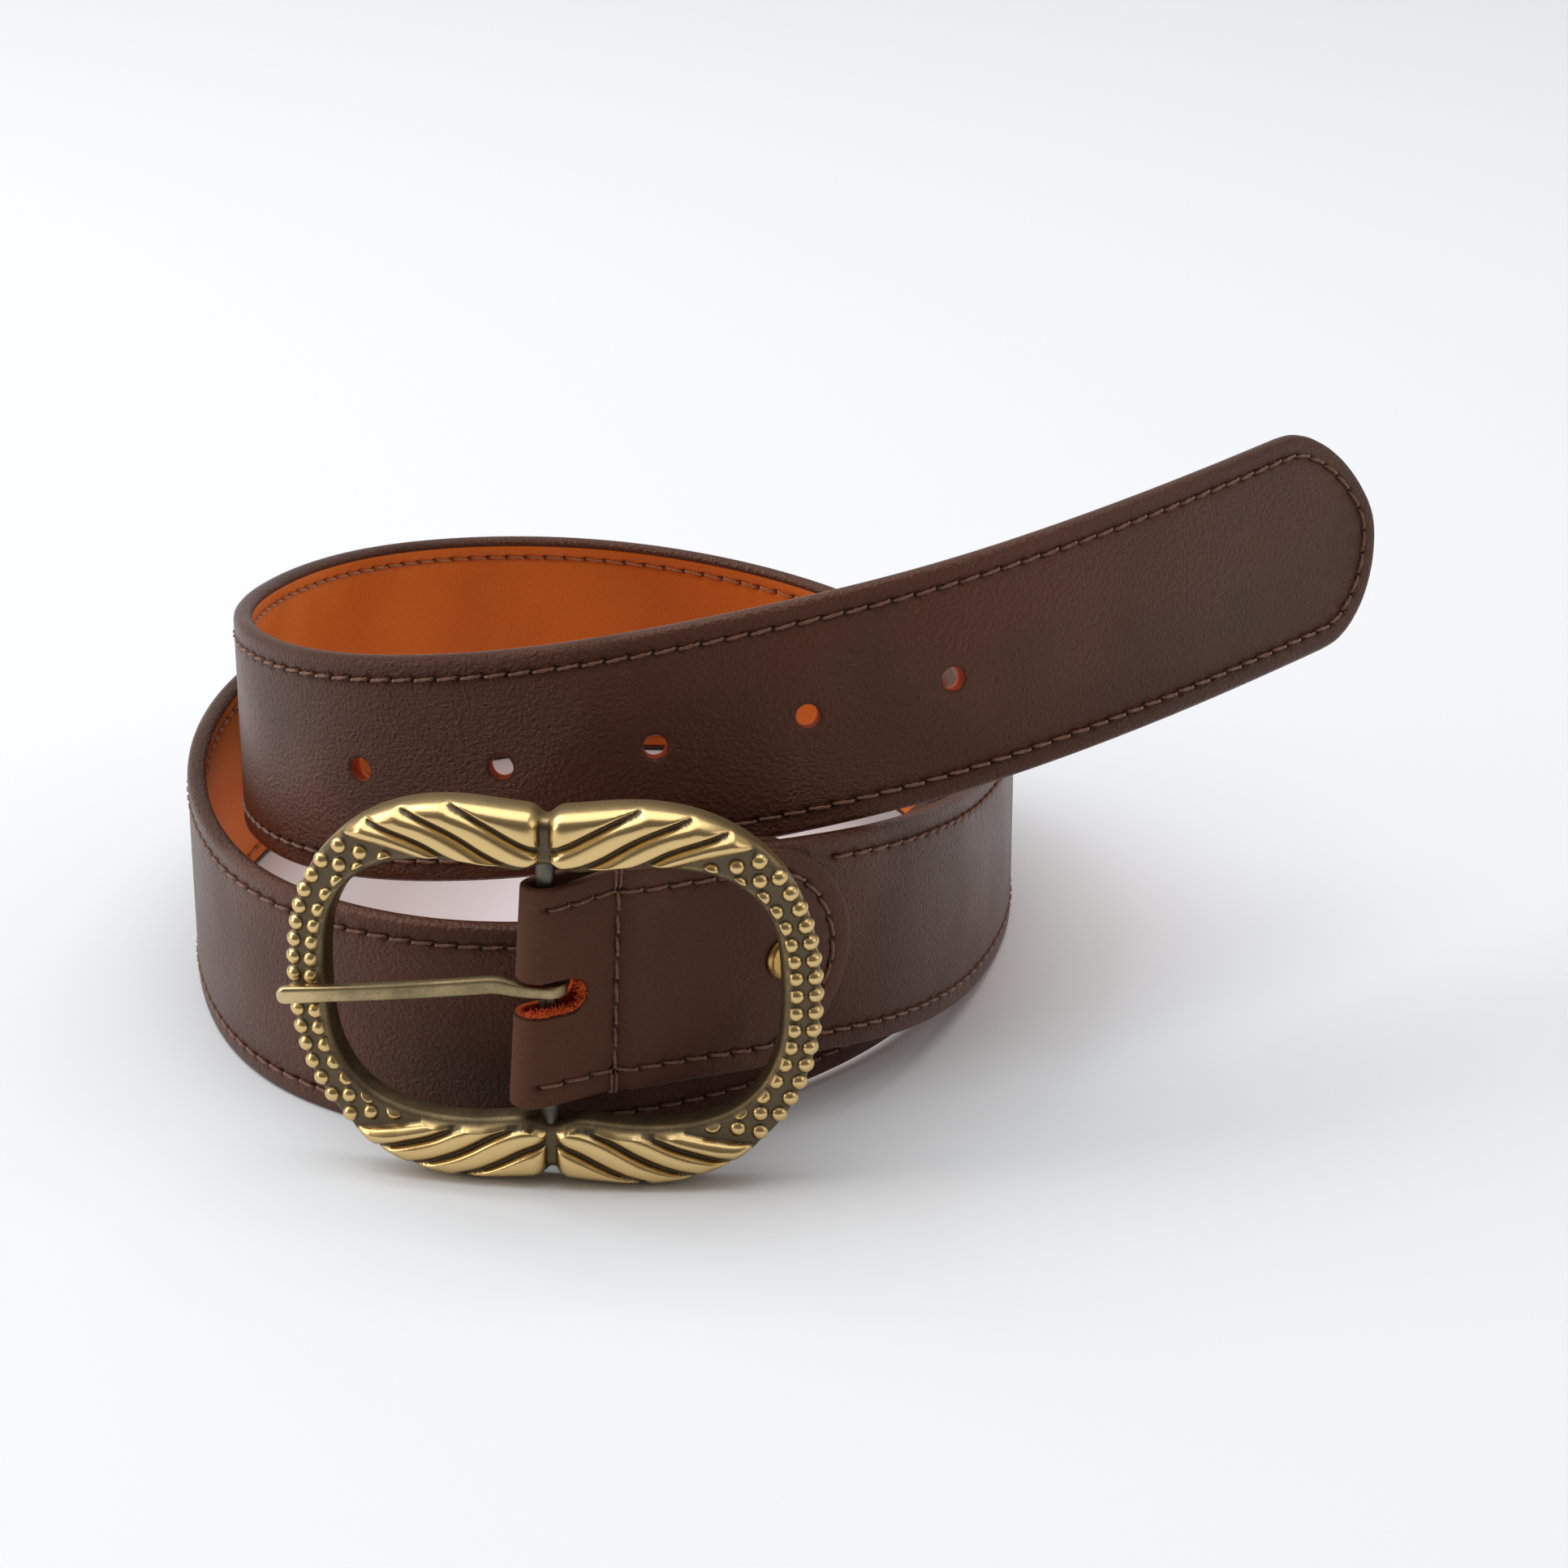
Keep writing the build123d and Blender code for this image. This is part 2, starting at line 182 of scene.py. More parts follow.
def belt(distance, across, depth):
    """Bend flat points onto the strap. Depth is inwards from the outer face."""
    place, inward, upward, along = route.stations(np.clip(distance, 0, LENGTH))
    past = (distance - np.clip(distance, 0, LENGTH))[:, None]
    points = place + inward * depth[:, None] + upward * across[:, None] + along * past
    points[:, 2] = np.maximum(points[:, 2], 0.0)
    return points


FOLD_RADIUS = THICKNESS / 2
FOLD_HALF = math.pi * (FOLD_RADIUS + TAB_THICKNESS / 2) / 2
PINCH = 1.05
PINCH_BEFORE = 5.0
PINCH_AFTER = 1.7
FOLD_LEAN = 1.7          # the fold hangs looser at its lower end
FOLD_TAPER = 1.0         # and is a little lower at its upper end
FOLD_REACH = 11.0        # how far from the fold it still hangs loose
FOLD_ALONG = route.stations(np.zeros(1))[3]


def tab_place(along_sheet, across, lift):
    """Bend the tab's flat sheet: outer leg, half turn round the bar, inner leg.

    Lift is away from the strap.
    """
    points = np.zeros((len(along_sheet), 3))
    distance = np.abs(along_sheet) - FOLD_HALF
    near = ease_in(1 - distance / FOLD_REACH)
    slack = near * FOLD_LEAN * (0.5 - across / BELT_WIDTH)
    across = across - near * FOLD_TAPER * np.clip(across / HALF, 0, 1) ** 2
    width = np.where(distance < CROSS_SEAM, PINCH_BEFORE, PINCH_AFTER)
    pinch = PINCH * np.exp(-((distance - CROSS_SEAM) / width) ** 2)
    outer, inner = along_sheet >= FOLD_HALF, along_sheet <= -FOLD_HALF
    points[outer] = belt(distance[outer], across[outer], (pinch - lift)[outer])
    points[inner] = belt(distance[inner], across[inner], (THICKNESS - pinch + lift)[inner])
    fold = ~(outer | inner)
    if fold.any():
        place, inward, upward, along = route.stations(np.zeros(fold.sum()))
        turn = ((FOLD_HALF - along_sheet[fold]) / (2 * FOLD_HALF) * math.pi)[:, None]
        radius = (FOLD_RADIUS + lift[fold])[:, None]
        centre = place + inward * FOLD_RADIUS + upward * across[fold][:, None]
        points[fold] = centre - radius * (inward * np.cos(turn) + along * np.sin(turn))
    return points - FOLD_ALONG * slack[:, None]


# ---------------------------------------------------------------- meshes
def new_piece(name, points, faces, body, nodes, material, fields=None, weld=False):
    """Make a piece from points in mm. Fields are per-point numbers or vectors that materials read."""
    mesh = bpy.data.meshes.new(name)
    mesh.from_pydata([tuple(p) for p in np.asarray(points) * MM], [], faces)
    for field, values in (fields or {}).items():
        values = np.asarray(values, np.float32)
        kind = "FLOAT" if values.ndim == 1 else "FLOAT_VECTOR"
        layer = mesh.attributes.new(field, kind, "POINT")
        layer.data.foreach_set("value" if values.ndim == 1 else "vector", values.ravel())
    work = bmesh.new()
    work.from_mesh(mesh)
    if weld:
        bmesh.ops.remove_doubles(work, verts=work.verts, dist=0.004 * MM)
        bmesh.ops.dissolve_degenerate(work, edges=work.edges, dist=0.002 * MM)
    loose = [v for v in work.verts if not v.link_faces]
    bmesh.ops.delete(work, geom=loose, context="VERTS")
    bmesh.ops.recalc_face_normals(work, faces=work.faces)
    work.to_mesh(mesh)
    work.free()
    mesh.shade_smooth()
    piece = bpy.data.objects.new(name, mesh)
    bpy.context.scene.collection.objects.link(piece)
    mesh.materials.append(material)
    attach(piece, body)
    if nodes:
        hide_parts(*nodes)
    return piece


def loop_quads(rows, columns, close_rows=False):
    """Quads between rows of closed loops."""
    index = np.arange(rows * columns).reshape(rows, columns)
    nxt = np.roll(index, -1, axis=0) if close_rows else index[1:]
    low = index if close_rows else index[:-1]
    return np.stack([low, np.roll(low, -1, 1), np.roll(nxt, -1, 1), nxt], axis=-1)


def capped_tube(rows, columns):
    """The faces of a tube of closed loops, with a face over each end."""
    last = (rows - 1) * columns
    ends = [list(range(columns))[::-1], list(range(last, last + columns))]
    return loop_quads(rows, columns).reshape(-1, 4).tolist() + ends


PART_WAY = (0.72, 0.66)  # a point of the end's arc, as shares of its length and of half the width
CUT_MARGIN = 0.8         # the arc leaves the shoulder this far outside the leather's edge
OUTLINE_STEP = 0.25


class Outline:
    """Half of a sheet's outline: a straight side, then an arc that rounds its end to a blunt point."""

    def __init__(self, start, end, rounding, ease):
        shoulder, top = end - rounding, HALF + CUT_MARGIN
        reach, wide = PART_WAY[0] * rounding, PART_WAY[1] * HALF
        # the circle through the shoulder, a point part way and the tip
        solve = np.array([[2 * reach, 2 * (wide - top)], [2 * (rounding - reach), -2 * wide]])
        right = [reach**2 + wide**2 - top**2, rounding**2 - reach**2 - wide**2]
        cx, cy = np.linalg.solve(solve, right)
        radius = math.hypot(rounding - cx, cy)
        arc = np.linspace(math.asin((HALF - cy) / radius), math.atan2(-cy, rounding - cx), 80)
        xs, ys = shoulder + cx + radius * np.cos(arc), cy + radius * np.sin(arc)
        corners = np.column_stack([np.concatenate([[start], xs]), np.concatenate([[HALF], ys])])
        run = distances_along(corners)
        even = np.linspace(0, run[-1], int(run[-1] / OUTLINE_STEP))
        half = np.column_stack([np.interp(even, run, corners[:, k]) for k in (0, 1)])
        # the whole outline is smoothed a little, so that its corners are as soft as cut leather's
        whole = np.concatenate([half, half[-2::-1] * (1, -1)])
        reach = int(3 * ease / OUTLINE_STEP)
        weights = np.exp(-0.5 * (np.arange(-reach, reach + 1) * OUTLINE_STEP / ease) ** 2)
        weights /= weights.sum()
        soft = whole.copy()
        for k in (0, 1):
            soft[reach:-reach, k] = np.convolve(whole[:, k], weights, "valid")
        tangent = np.gradient(soft, axis=0)
        turn = np.unwrap(np.arctan2(-tangent[:, 0], tangent[:, 1]))
        keep = len(half)
        self.s, self.y, self.turn = soft[:keep, 0], soft[:keep, 1], turn[:keep]
        self.y[-1], self.turn[-1] = 0.0, -math.pi
        inwards = np.stack([np.cos(self.turn), np.sin(self.turn)], 1)
        line = np.stack([self.s, self.y], 1) + STITCH_INSET * inwards
        self.path = start + distances_along(line)
        self.end = self.path[-1]

    def at(self, path):
        return tuple(np.interp(path, self.path, row) for row in (self.s, self.y, self.turn))

    def inset(self, path, offset):
        s, y, turn = self.at(path)
        return s + np.cos(turn) * offset, y + np.sin(turn) * offset


BAND = 5.4
EDGE = 1.3
BAND_STEPS = [2.0, 2.7, 3.15, 3.45, 3.7, 3.95, 4.25, 4.7, BAND]
PIT_STEPS = [0.0, 0.35, 1.2, 2.8, 3.65]


def needle_holes(outline, first, pitch):
    """Needle holes every pitch along half of an outline. One stitch crosses the end's middle."""
    return np.arange(outline.end - pitch / 2, first, -pitch)[::-1]


def sheet_rows(outline, holes, start, spacing):
    """Rows close together at each needle hole, and evenly spaced before the first."""
    pitch = holes[1] - holes[0]
    rows = [hole + step * pitch / STITCH_PITCH for hole in holes for step in PIT_STEPS]
    before = np.linspace(start, holes[0] - 0.4, max(2, int((holes[0] - start) / spacing)))
    rows = [row for row in rows if row < outline.end - 0.3]
    return np.array(sorted(list(before) + rows + [outline.end]))


ROW_WIDTH = 0.8          # the sunk row, the needle's pit and the leather drawn in round the pit
PIT_RADIUS = 0.42
PUCKER_DEPTH, PUCKER_WIDTH, PUCKER_LENGTH = 0.10, 1.5, 0.9


def puncture(path, offset, holes, depth_groove, depth_pit):
    """How far the leather sinks along a stitch line, and the shade painted into its needle pits."""
    near = np.abs(path[:, None] - holes[None, :]).min(axis=1)
    aside = np.abs(offset - STITCH_INSET)
    inside = (path > holes[0] - 1) & (path < holes[-1] + STITCH_PITCH / 2 + 1)
    groove = depth_groove * np.exp(-(aside / ROW_WIDTH) ** 2)
    pit = np.exp(-(aside / PIT_RADIUS) ** 2 - (near / PIT_RADIUS) ** 2)
    pucker = PUCKER_DEPTH * np.exp(-(aside / PUCKER_WIDTH) ** 2 - (near / PUCKER_LENGTH) ** 2)
    # the pit's share is also painted shade: it darkens the colour in the needle pits in place of their own
    # shadow
    return (groove + depth_pit * pit + pucker) * inside, pit * inside


def bent_sheet(place, outline, rows, columns, openings, sink, capped):
    """A closed sheet of leather.

    rows: distances along the stitch line. columns: one closed loop of (side, inset, share, depth), where
    inset counts from the outline and share goes from the band's inner line to the middle.
    openings: (centre, height, half axis, radius, top columns, bottom columns, top depth, bottom depth).
    """
    size = np.abs(rows)
    sign = np.where(rows < 0, -1.0, 1.0)
    s, y, turn = outline.at(size)
    side, inset, share, depth = np.array(columns, float).T
    flat_s = s[:, None] + np.cos(turn)[:, None] * inset
    flat_y = (y[:, None] + np.sin(turn)[:, None] * inset) * (1 - share) * side
    flat_s = flat_s * sign[:, None]
    path = np.repeat(size[:, None], len(columns), 1)
    total = inset + share * 100
    fall, painted_shade = sink(path.ravel(), np.broadcast_to(total, path.shape).ravel(), flat_s.ravel(),
                      flat_y.ravel(), np.broadcast_to(depth, path.shape).ravel())
    level = np.broadcast_to(depth, path.shape).ravel() + fall
    flat = np.stack([flat_s.ravel(), flat_y.ravel(), level], 1)
    quads = loop_quads(len(rows), len(columns))
    keep = np.ones(quads.shape[:2], bool)
    extra_flat, extra_painted_shade, extra_raw, faces = [], [], [], []
    count = len(flat)
    for centre, height, axis, radius, top, bottom, high, low in openings:
        reach = radius + 2.6
        inside = np.where(np.abs(rows - centre) < axis + reach)[0]
        first, last = inside[0], inside[-1]
        for lane in (top, bottom):
            keep[first:last, min(lane):max(lane)] = False
        rings = []
        for lane in (top, bottom):
            around = ([(r, lane[0]) for r in range(first, last)] + [(last, c) for c in lane[:-1]]
                      + [(r, lane[-1]) for r in range(last, first, -1)] + [(first, c) for c in lane[:0:-1]])
            rings.append(np.array([r * len(columns) + c for r, c in around]))
        start = flat[rings[0]][:, :2]
        on_axis = np.stack([np.clip(start[:, 0], centre - axis, centre + axis), start[:, 1] * 0 + height], 1)
        away = unit(start - on_axis)
        bevel = (high - low) / abs(high - low)
        # share of the way in, extra radius, depth and rawness of each ring
        steps = [(0.4, 0, high, 0), (0.75, 0, high, 0), (1, 0.42, high - bevel * 0.05, 0),
                 (1, 0.16, high - bevel * 0.22, 0.0), (1, 0.02, high - bevel * 0.45, 1),
                 (1, 0, (high + low) / 2, 1), (1, 0, low, 1), (0.5, 0.0, low, 0)]
        last_ring = rings[0]
        for index, (way, extra, ring_depth, raw) in enumerate(steps):
            rim = on_axis + away * (radius + extra)
            spot = start * (1 - way) + rim * way if way < 1 else rim
            ring = np.arange(len(spot)) + count
            base = np.full(len(spot), float(ring_depth))
            if index < 2:
                base = base + (flat[rings[0]][:, 2] - high) * (1 - way)
            extra_flat.append(np.column_stack([spot, base]))
            # painted shade on the two rings where the rim turns down into the opening
            extra_painted_shade.append(np.full(len(spot), 0.55 if index in (3, 4) else 0.0))
            extra_raw.append(np.full(len(spot), float(raw)))
            count += len(spot)
            faces += np.stack([last_ring, np.roll(last_ring, -1), np.roll(ring, -1), ring], 1).tolist()
            last_ring = ring
        ring = rings[1]
        faces += np.stack([last_ring, np.roll(last_ring, -1), np.roll(ring, -1), ring], 1).tolist()
    faces = quads[keep].tolist() + faces
    if capped:
        faces.append(list(range(len(columns)))[::-1])
    flat = np.concatenate([flat] + extra_flat)
    painted_shade = np.concatenate([painted_shade] + extra_painted_shade)
    raw = np.concatenate([np.zeros(path.size)] + extra_raw)
    points = place(flat[:, 0], flat[:, 1], flat[:, 2])
    return points, faces, {"flat": flat, "painted_shade": painted_shade, "raw": raw}


def side_columns(top_depth, top_inset, edge_profile, bottom_depth, bottom_inset):
    """One closed loop round a sheet: its seen face, an edge, its hidden face and the other edge.

    Also gives the columns that frame a punched hole, on the seen face and on the hidden one.
    """
    top = [(1, d, 0, top_depth) for d in [top_inset] + BAND_STEPS]
    top += [(1, BAND, f, top_depth) for f in WIDE[1:]]
    top += [(-1, c[1], c[2], c[3]) for c in top[-2::-1]]
    edge = [(-1, d, 0, x) for d, x in edge_profile]
    bottom = [(-1, bottom_inset, 0, bottom_depth)]
    bottom += [(-1, BAND, f, bottom_depth) for f in HIDDEN]
    bottom += [(1, c[1], c[2], c[3]) for c in bottom[-2::-1]]
    other = [(1, c[1], 0, c[3]) for c in edge[::-1]]
    columns = top + edge + bottom + other
    after = len(top) + len(edge)
    top_lane = [i for i in range(len(top)) if columns[i][2] >= WIDE[3]]
    bottom_lane = [i for i in range(after, after + len(bottom)) if columns[i][2] >= WIDE[3]]
    return columns, top_lane, bottom_lane[::-1]


# shares of the way from the band to the middle; the last five frame the punched holes
WIDE = [0, 0.22, 0.45, 0.667, 0.75, 0.84, 0.92, 1]
HIDDEN = [0, 0.667, 0.75, 0.84, 0.92, 1]


def thread_tubes(paths, ups, radius, sides=8, twist=2.2):
    """Two-ply stitches. paths is (stitches, samples, 3), ups the direction out of the leather."""
    stitches, samples = paths.shape[:2]
    tangent = unit(np.gradient(paths, axis=1))
    sideways = unit(np.cross(tangent, ups))
    upward = np.cross(sideways, tangent)
    angle = np.linspace(0, 2 * math.pi, sides, endpoint=False)
    spin = np.linspace(0, twist * math.pi, samples)
    lobed = 1 + 0.24 * np.cos(2 * (angle[None, :] - spin[:, None]))
    ends = np.clip(np.sin(np.linspace(0.12, math.pi - 0.12, samples)) * 3.2, 0, 1)
    reach = radius * lobed * ends[:, None]
    ring = (sideways[:, :, None, :] * (np.cos(angle)[None, :] * reach)[None, :, :, None]
            + upward[:, :, None, :] * (np.sin(angle)[None, :] * reach)[None, :, :, None])
    points = (paths[:, :, None, :] + ring).reshape(-1, 3)
    tube, step = capped_tube(samples, sides), samples * sides
    bases = range(0, stitches * step, step)
    return points, [[corner + base for corner in face] for base in bases for face in tube]


STITCH_SAMPLES = 9
STITCH_SLANT = 0.16      # each stitch starts this far inside its row and ends as far outside
STITCH_SAG = 0.5         # how far a stitch dips into the leather at its two ends


def sew(place, outline, spans, surface, out):
    """Stitches between needle holes along both halves of an outline.

    Out is -1 where outwards is less depth.
    """
    way = np.linspace(0, 1, STITCH_SAMPLES)
    rise = THREAD_RADIUS * 0.35 - (STITCH_SAG + THREAD_RADIUS) * np.abs(2 * way - 1) ** 7
    paths, ups = [], []
    for start, end, side, across_tip in spans:
        path = start + (end - start) * way
        if across_tip:
            half = np.where(path <= outline.end, path, 2 * outline.end - path)
            sides = np.where(path <= outline.end, side, -side)
        else:
            half, sides = path, np.full(STITCH_SAMPLES, float(side))
        offset = STITCH_INSET + STITCH_SLANT * (1 - 2 * way)
        sign = np.where(half < 0, -1.0, 1.0)
        s, y = outline.inset(np.abs(half), offset)
        depth = surface + out * rise
        paths.append(place(s * sign, y * sides, depth))
        ups.append(place(s * sign, y * sides, depth + out) - paths[-1])
    return thread_tubes(np.array(paths), np.array(ups), THREAD_RADIUS)


# ---------------------------------------------------------------- materials
class Shader:
    """A material's node tree, with short ways to add nodes."""

    def __init__(self, name):
        self.material = bpy.data.materials.new(name)
        self.material.use_nodes = True
        self.tree = self.material.node_tree
        self.main = self.tree.nodes["Principled BSDF"]

    def add(self, kind, inputs=None, **settings):
        node = self.tree.nodes.new("ShaderNode" + kind)
        for key, value in settings.items():
            setattr(node, key, value)
        for key, value in (inputs or {}).items():
            self.put(node.inputs[key], value)
        return node

    def put(self, socket, value):
        if isinstance(value, bpy.types.NodeSocket):
            self.tree.links.new(value, socket)
        else:
            socket.default_value = value

    def set(self, **values):
        for key, value in values.items():
            self.put(self.main.inputs[key.replace("_", " ")], value)

    def field(self, name, output="Fac"):
        return self.add("Attribute", attribute_name=name).outputs[output]

    def object_place(self):
        return self.add("TexCoord").outputs["Object"]

    def noise(self, where, scale, detail=3.0, rough=0.55, stretch=None, twist=0.0):
        if stretch:
            settings = {"Vector": where, "Scale": stretch, "Rotation": (0, 0, twist)}
            where = self.add("Mapping", settings).outputs[0]
        return self.add("TexNoise", {"Vector": where, "Scale": scale, "Detail": detail,
                                     "Roughness": rough}).outputs["Fac"]

    def cells(self, where, scale, smooth=0.4):
        return self.add("TexVoronoi", {"Vector": where, "Scale": scale, "Smoothness": smooth},
                        feature="SMOOTH_F1").outputs["Distance"]

    def span(self, value, low, high, to_low=0.0, to_high=1.0):
        return self.add("MapRange", {"Value": value, "From Min": low, "From Max": high, "To Min": to_low,
                                     "To Max": to_high}, interpolation_type="SMOOTHSTEP").outputs[0]

    def mix(self, share, first, second):
        return self.add("Mix", {0: share, 6: first, 7: second}, data_type="RGBA").outputs[2]

    def math(self, operation, first, second=0.0):
        return self.add("Math", {0: first, 1: second}, operation=operation).outputs[0]

    def times(self, first, second):
        return self.math("MULTIPLY", first, second)

    def plus(self, first, second):
        return self.math("ADD", first, second)

    def bump(self, height, distance):
        return self.add("Bump", {"Height": height, "Distance": distance * MM, "Strength": 1.0}).outputs[0]


RAW = (0.56, 0.070, 0.012, 1)
WARM_GLOSS = (1.0, 0.60, 0.44, 1)


def strap_leather():
    """Dark brown top grain with a soft gloss, fine creases and raw orange edges in the holes."""
    s = Shader("strap_leather")
    flat = s.field("flat", "Vector")
    painted_shade, raw = s.field("painted_shade"), s.field("raw")
    tone = s.noise(flat, 0.018, 3.0)
    fleck = s.noise(flat, 0.9, 4.0, 0.6)
    colour = s.mix(s.span(tone, 0.35, 0.65), (0.048, 0.0120, 0.0055, 1), (0.067, 0.0180, 0.0085, 1))
    colour = s.mix(s.span(fleck, 0.35, 0.75, 0.0, 0.25), colour, (0.030, 0.009, 0.005, 1))
    # painted shade: needle pits and the rims of punched holes are darkened here
    colour = s.mix(s.times(painted_shade, 0.93), colour, (0.006, 0.002, 0.0015, 1))
    fray = s.span(s.noise(flat, 3.5, 3.0), 0.35, 0.6, 0.55, 1.0)
    colour = s.mix(s.times(raw, fray), colour, RAW)
    gloss = s.noise(flat, 0.03, 2.0)
    rough = s.span(gloss, 0.3, 0.7, 0.27, 0.37)
    rough = s.math("MAXIMUM", rough, s.times(raw, 0.9))
    grain = s.cells(flat, 1.5)
    pores = s.noise(flat, 5.0, 3.0, 0.65)
    crease = s.noise(flat, 1.0, 4.0, 0.6, (0.55, 1.3, 1), 0.5)
    crease = s.math("POWER", s.math("ABSOLUTE", s.math("SUBTRACT", crease, 0.5)), 0.5)
    where = s.span(s.noise(flat, 0.02, 2.0), 0.42, 0.58)
    height = s.plus(s.times(grain, 0.7), s.times(pores, 0.45))
    pebble = s.math("SUBTRACT", s.noise(flat, 1.5, 3.0, 0.65), 0.5)
    coarse = s.plus(s.times(pebble, 3.4), s.math("SUBTRACT", crease, 0.3))
    height = s.plus(height, s.times(coarse, where))
    s.set(Base_Color=colour, Roughness=rough, Specular_IOR_Level=0.70, Specular_Tint=WARM_GLOSS,
          Normal=s.bump(height, 0.32))
    return s.material


def lining_leather():
    """Smooth orange-tan lining with a faint grain."""
    s = Shader("lining_leather")
    flat = s.field("flat", "Vector")
    painted_shade, raw = s.field("painted_shade"), s.field("raw")
    tone = s.noise(flat, 0.03, 3.0)
    colour = s.mix(s.span(tone, 0.35, 0.65), (0.62, 0.145, 0.015, 1), (0.72, 0.190, 0.022, 1))
    colour = s.mix(s.span(s.noise(flat, 1.6, 4.0), 0.4, 0.8, 0.0, 0.3), colour, (0.40, 0.070, 0.009, 1))
    # painted shade: needle pits and the rims of punched holes are darkened here
    colour = s.mix(s.times(painted_shade, 0.9), colour, (0.05, 0.012, 0.004, 1))
    colour = s.mix(raw, colour, RAW)
    height = s.plus(s.cells(flat, 1.3), s.times(s.noise(flat, 4.0, 3.0), 0.5))
    s.set(Base_Color=colour, Roughness=s.span(tone, 0.3, 0.7, 0.46, 0.58), Specular_Tint=WARM_GLOSS,
          Normal=s.bump(height, 0.05))
    return s.material


def tab_leather():
    """The tab's leather: napped and matt round the fold, smoother and darker towards its end."""
    s = Shader("tab_leather")
    flat = s.field("flat", "Vector")
    painted_shade, raw = s.field("painted_shade"), s.field("raw")
    nap = s.field("nap")
    tone = s.noise(flat, 0.05, 3.0)
    fuzz = s.noise(flat, 6.0, 4.0, 0.7)
    smooth = s.mix(s.span(tone, 0.35, 0.65), (0.046, 0.0150, 0.0085, 1), (0.064, 0.0225, 0.0130, 1))
    suede = s.mix(s.span(fuzz, 0.35, 0.7), (0.068, 0.0270, 0.0155, 1), (0.120, 0.0520, 0.0310, 1))
    colour = s.mix(nap, smooth, suede)
    speck = s.span(s.noise(flat, 2.3, 2.0), 0.74, 0.80, 0.0, 0.5)
    colour = s.mix(s.times(speck, nap), colour, (0.20, 0.11, 0.07, 1))
    # painted shade: needle pits, seam pits and the rims of the slot and screw holes are darkened here
    colour = s.mix(s.times(painted_shade, 0.9), colour, (0.008, 0.003, 0.002, 1))
    fray = s.span(s.noise(flat, 4.5, 3.0), 0.3, 0.6, 0.7, 1.0)
    colour = s.mix(s.times(raw, fray), colour, RAW)
    rough = s.math("MAXIMUM", s.span(nap, 0, 1, 0.42, 0.82), s.times(raw, 0.95))
    height = s.plus(s.times(fuzz, s.span(nap, 0, 1, 0.4, 1.4)), s.cells(flat, 1.4))
    s.set(Base_Color=colour, Roughness=rough, Specular_Tint=WARM_GLOSS, Normal=s.bump(height, 0.10))
    return s.material


def sewing_thread(name, dull, bright, sheen=0.3):
    s = Shader(name)
    where = s.object_place()
    fibre = s.noise(where, 4500, 3.0)
    s.set(Base_Color=s.mix(s.span(fibre, 0.35, 0.65), dull, bright), Roughness=0.7, Sheen_Weight=sheen,
          Normal=s.bump(fibre, 0.03))
    return s.material


def antique_metal(name, patina, bright, level, rough=(0.52, 0.27)):
    """Dark in the recesses and bright where it is rubbed.

    Level is how rubbed the whole piece is, or None where its points say so themselves.
    """
    s = Shader(name)
    where = s.object_place()
    rub = s.field("rub") if level is None else level
    cloud = s.noise(where, 260, 4.0, 0.6)
    fine = s.noise(where, 2200, 3.0, 0.6)
    if level is None:
        rub = s.plus(rub, s.times(s.math("SUBTRACT", cloud, 0.5), 0.35))
        rub = s.plus(rub, s.times(s.math("SUBTRACT", fine, 0.5), 0.25))
        rub = s.span(rub, 0.15, 0.85)
    else:
        rub = s.span(s.plus(s.times(cloud, 0.7), s.times(fine, 0.3)),
                     0.30, 0.66, level - 0.25, level + 0.25)
    s.set(Base_Color=s.mix(rub, patina, bright), Metallic=1.0, Roughness=s.span(rub, 0, 1, *rough),
          Normal=s.bump(s.plus(fine, s.times(cloud, 0.6)), 0.012))
    return s.material


def studio_floor():
    s = Shader("studio_floor")
    where = s.object_place()
    s.set(Base_Color=s.mix(s.noise(where, 0.8, 1.0), (0.845, 0.865, 0.90, 1), (0.86, 0.875, 0.905, 1)),
          Roughness=0.9, Specular_IOR_Level=0.1)
    return s.material


FACE_LEATHER, LINING_LEATHER, TAB_LEATHER = strap_leather(), lining_leather(), tab_leather()
FIBRES = sewing_thread("raw_fibres", (0.34, 0.022, 0.002, 1), (0.95, 0.15, 0.006, 1), 0.0)
FACE_THREAD = sewing_thread("face_sewing", (0.10, 0.036, 0.018, 1), (0.26, 0.105, 0.050, 1))
LINING_THREAD = sewing_thread("lining_sewing", (0.22, 0.062, 0.012, 1), (0.50, 0.19, 0.050, 1))
BRASS = antique_metal("cast_brass", (0.135, 0.103, 0.064, 1), (0.70, 0.50, 0.225, 1), None)
PRONG_BRASS = antique_metal("prong_brass", (0.13, 0.105, 0.062, 1), (0.62, 0.47, 0.245, 1), None)
SCREW_BRASS = antique_metal("screw_brass", (0.25, 0.14, 0.045, 1), (0.60, 0.37, 0.12, 1), 0.7)
BAR_METAL = antique_metal("bar_metal", (0.060, 0.055, 0.045, 1), (0.16, 0.145, 0.115, 1), 0.5)


# ---------------------------------------------------------------- the strap
def dip(distance, across, centre, radius, depth):
    """The leather sinks a little round a punched hole."""
    far = np.hypot(distance - centre, across)
    return depth * np.exp(-((far - radius) / 1.5) ** 2) * (np.abs(far) > radius * 0.7)


strap_outline = Outline(STRAP_START, LENGTH, TIP_LENGTH, 2.2)
strap_needles = needle_holes(strap_outline, TAB_LENGTH - 6, STITCH_PITCH)
strap_rows = sheet_rows(strap_outline, strap_needles, STRAP_START, 2.0)


def strap_sink(top_depth, inwards):
    def sink(path, total, distance, across, depth):
        seen = np.abs(depth - top_depth) < 0.01
        fall, painted_shade = puncture(path, total, strap_needles, 0.16, 0.75)
        for centre in HOLE_PLACES:
            fall = fall + dip(distance, across, centre, HOLE_RADIUS, 0.12)
        return fall * seen * inwards, painted_shade * seen
    return sink


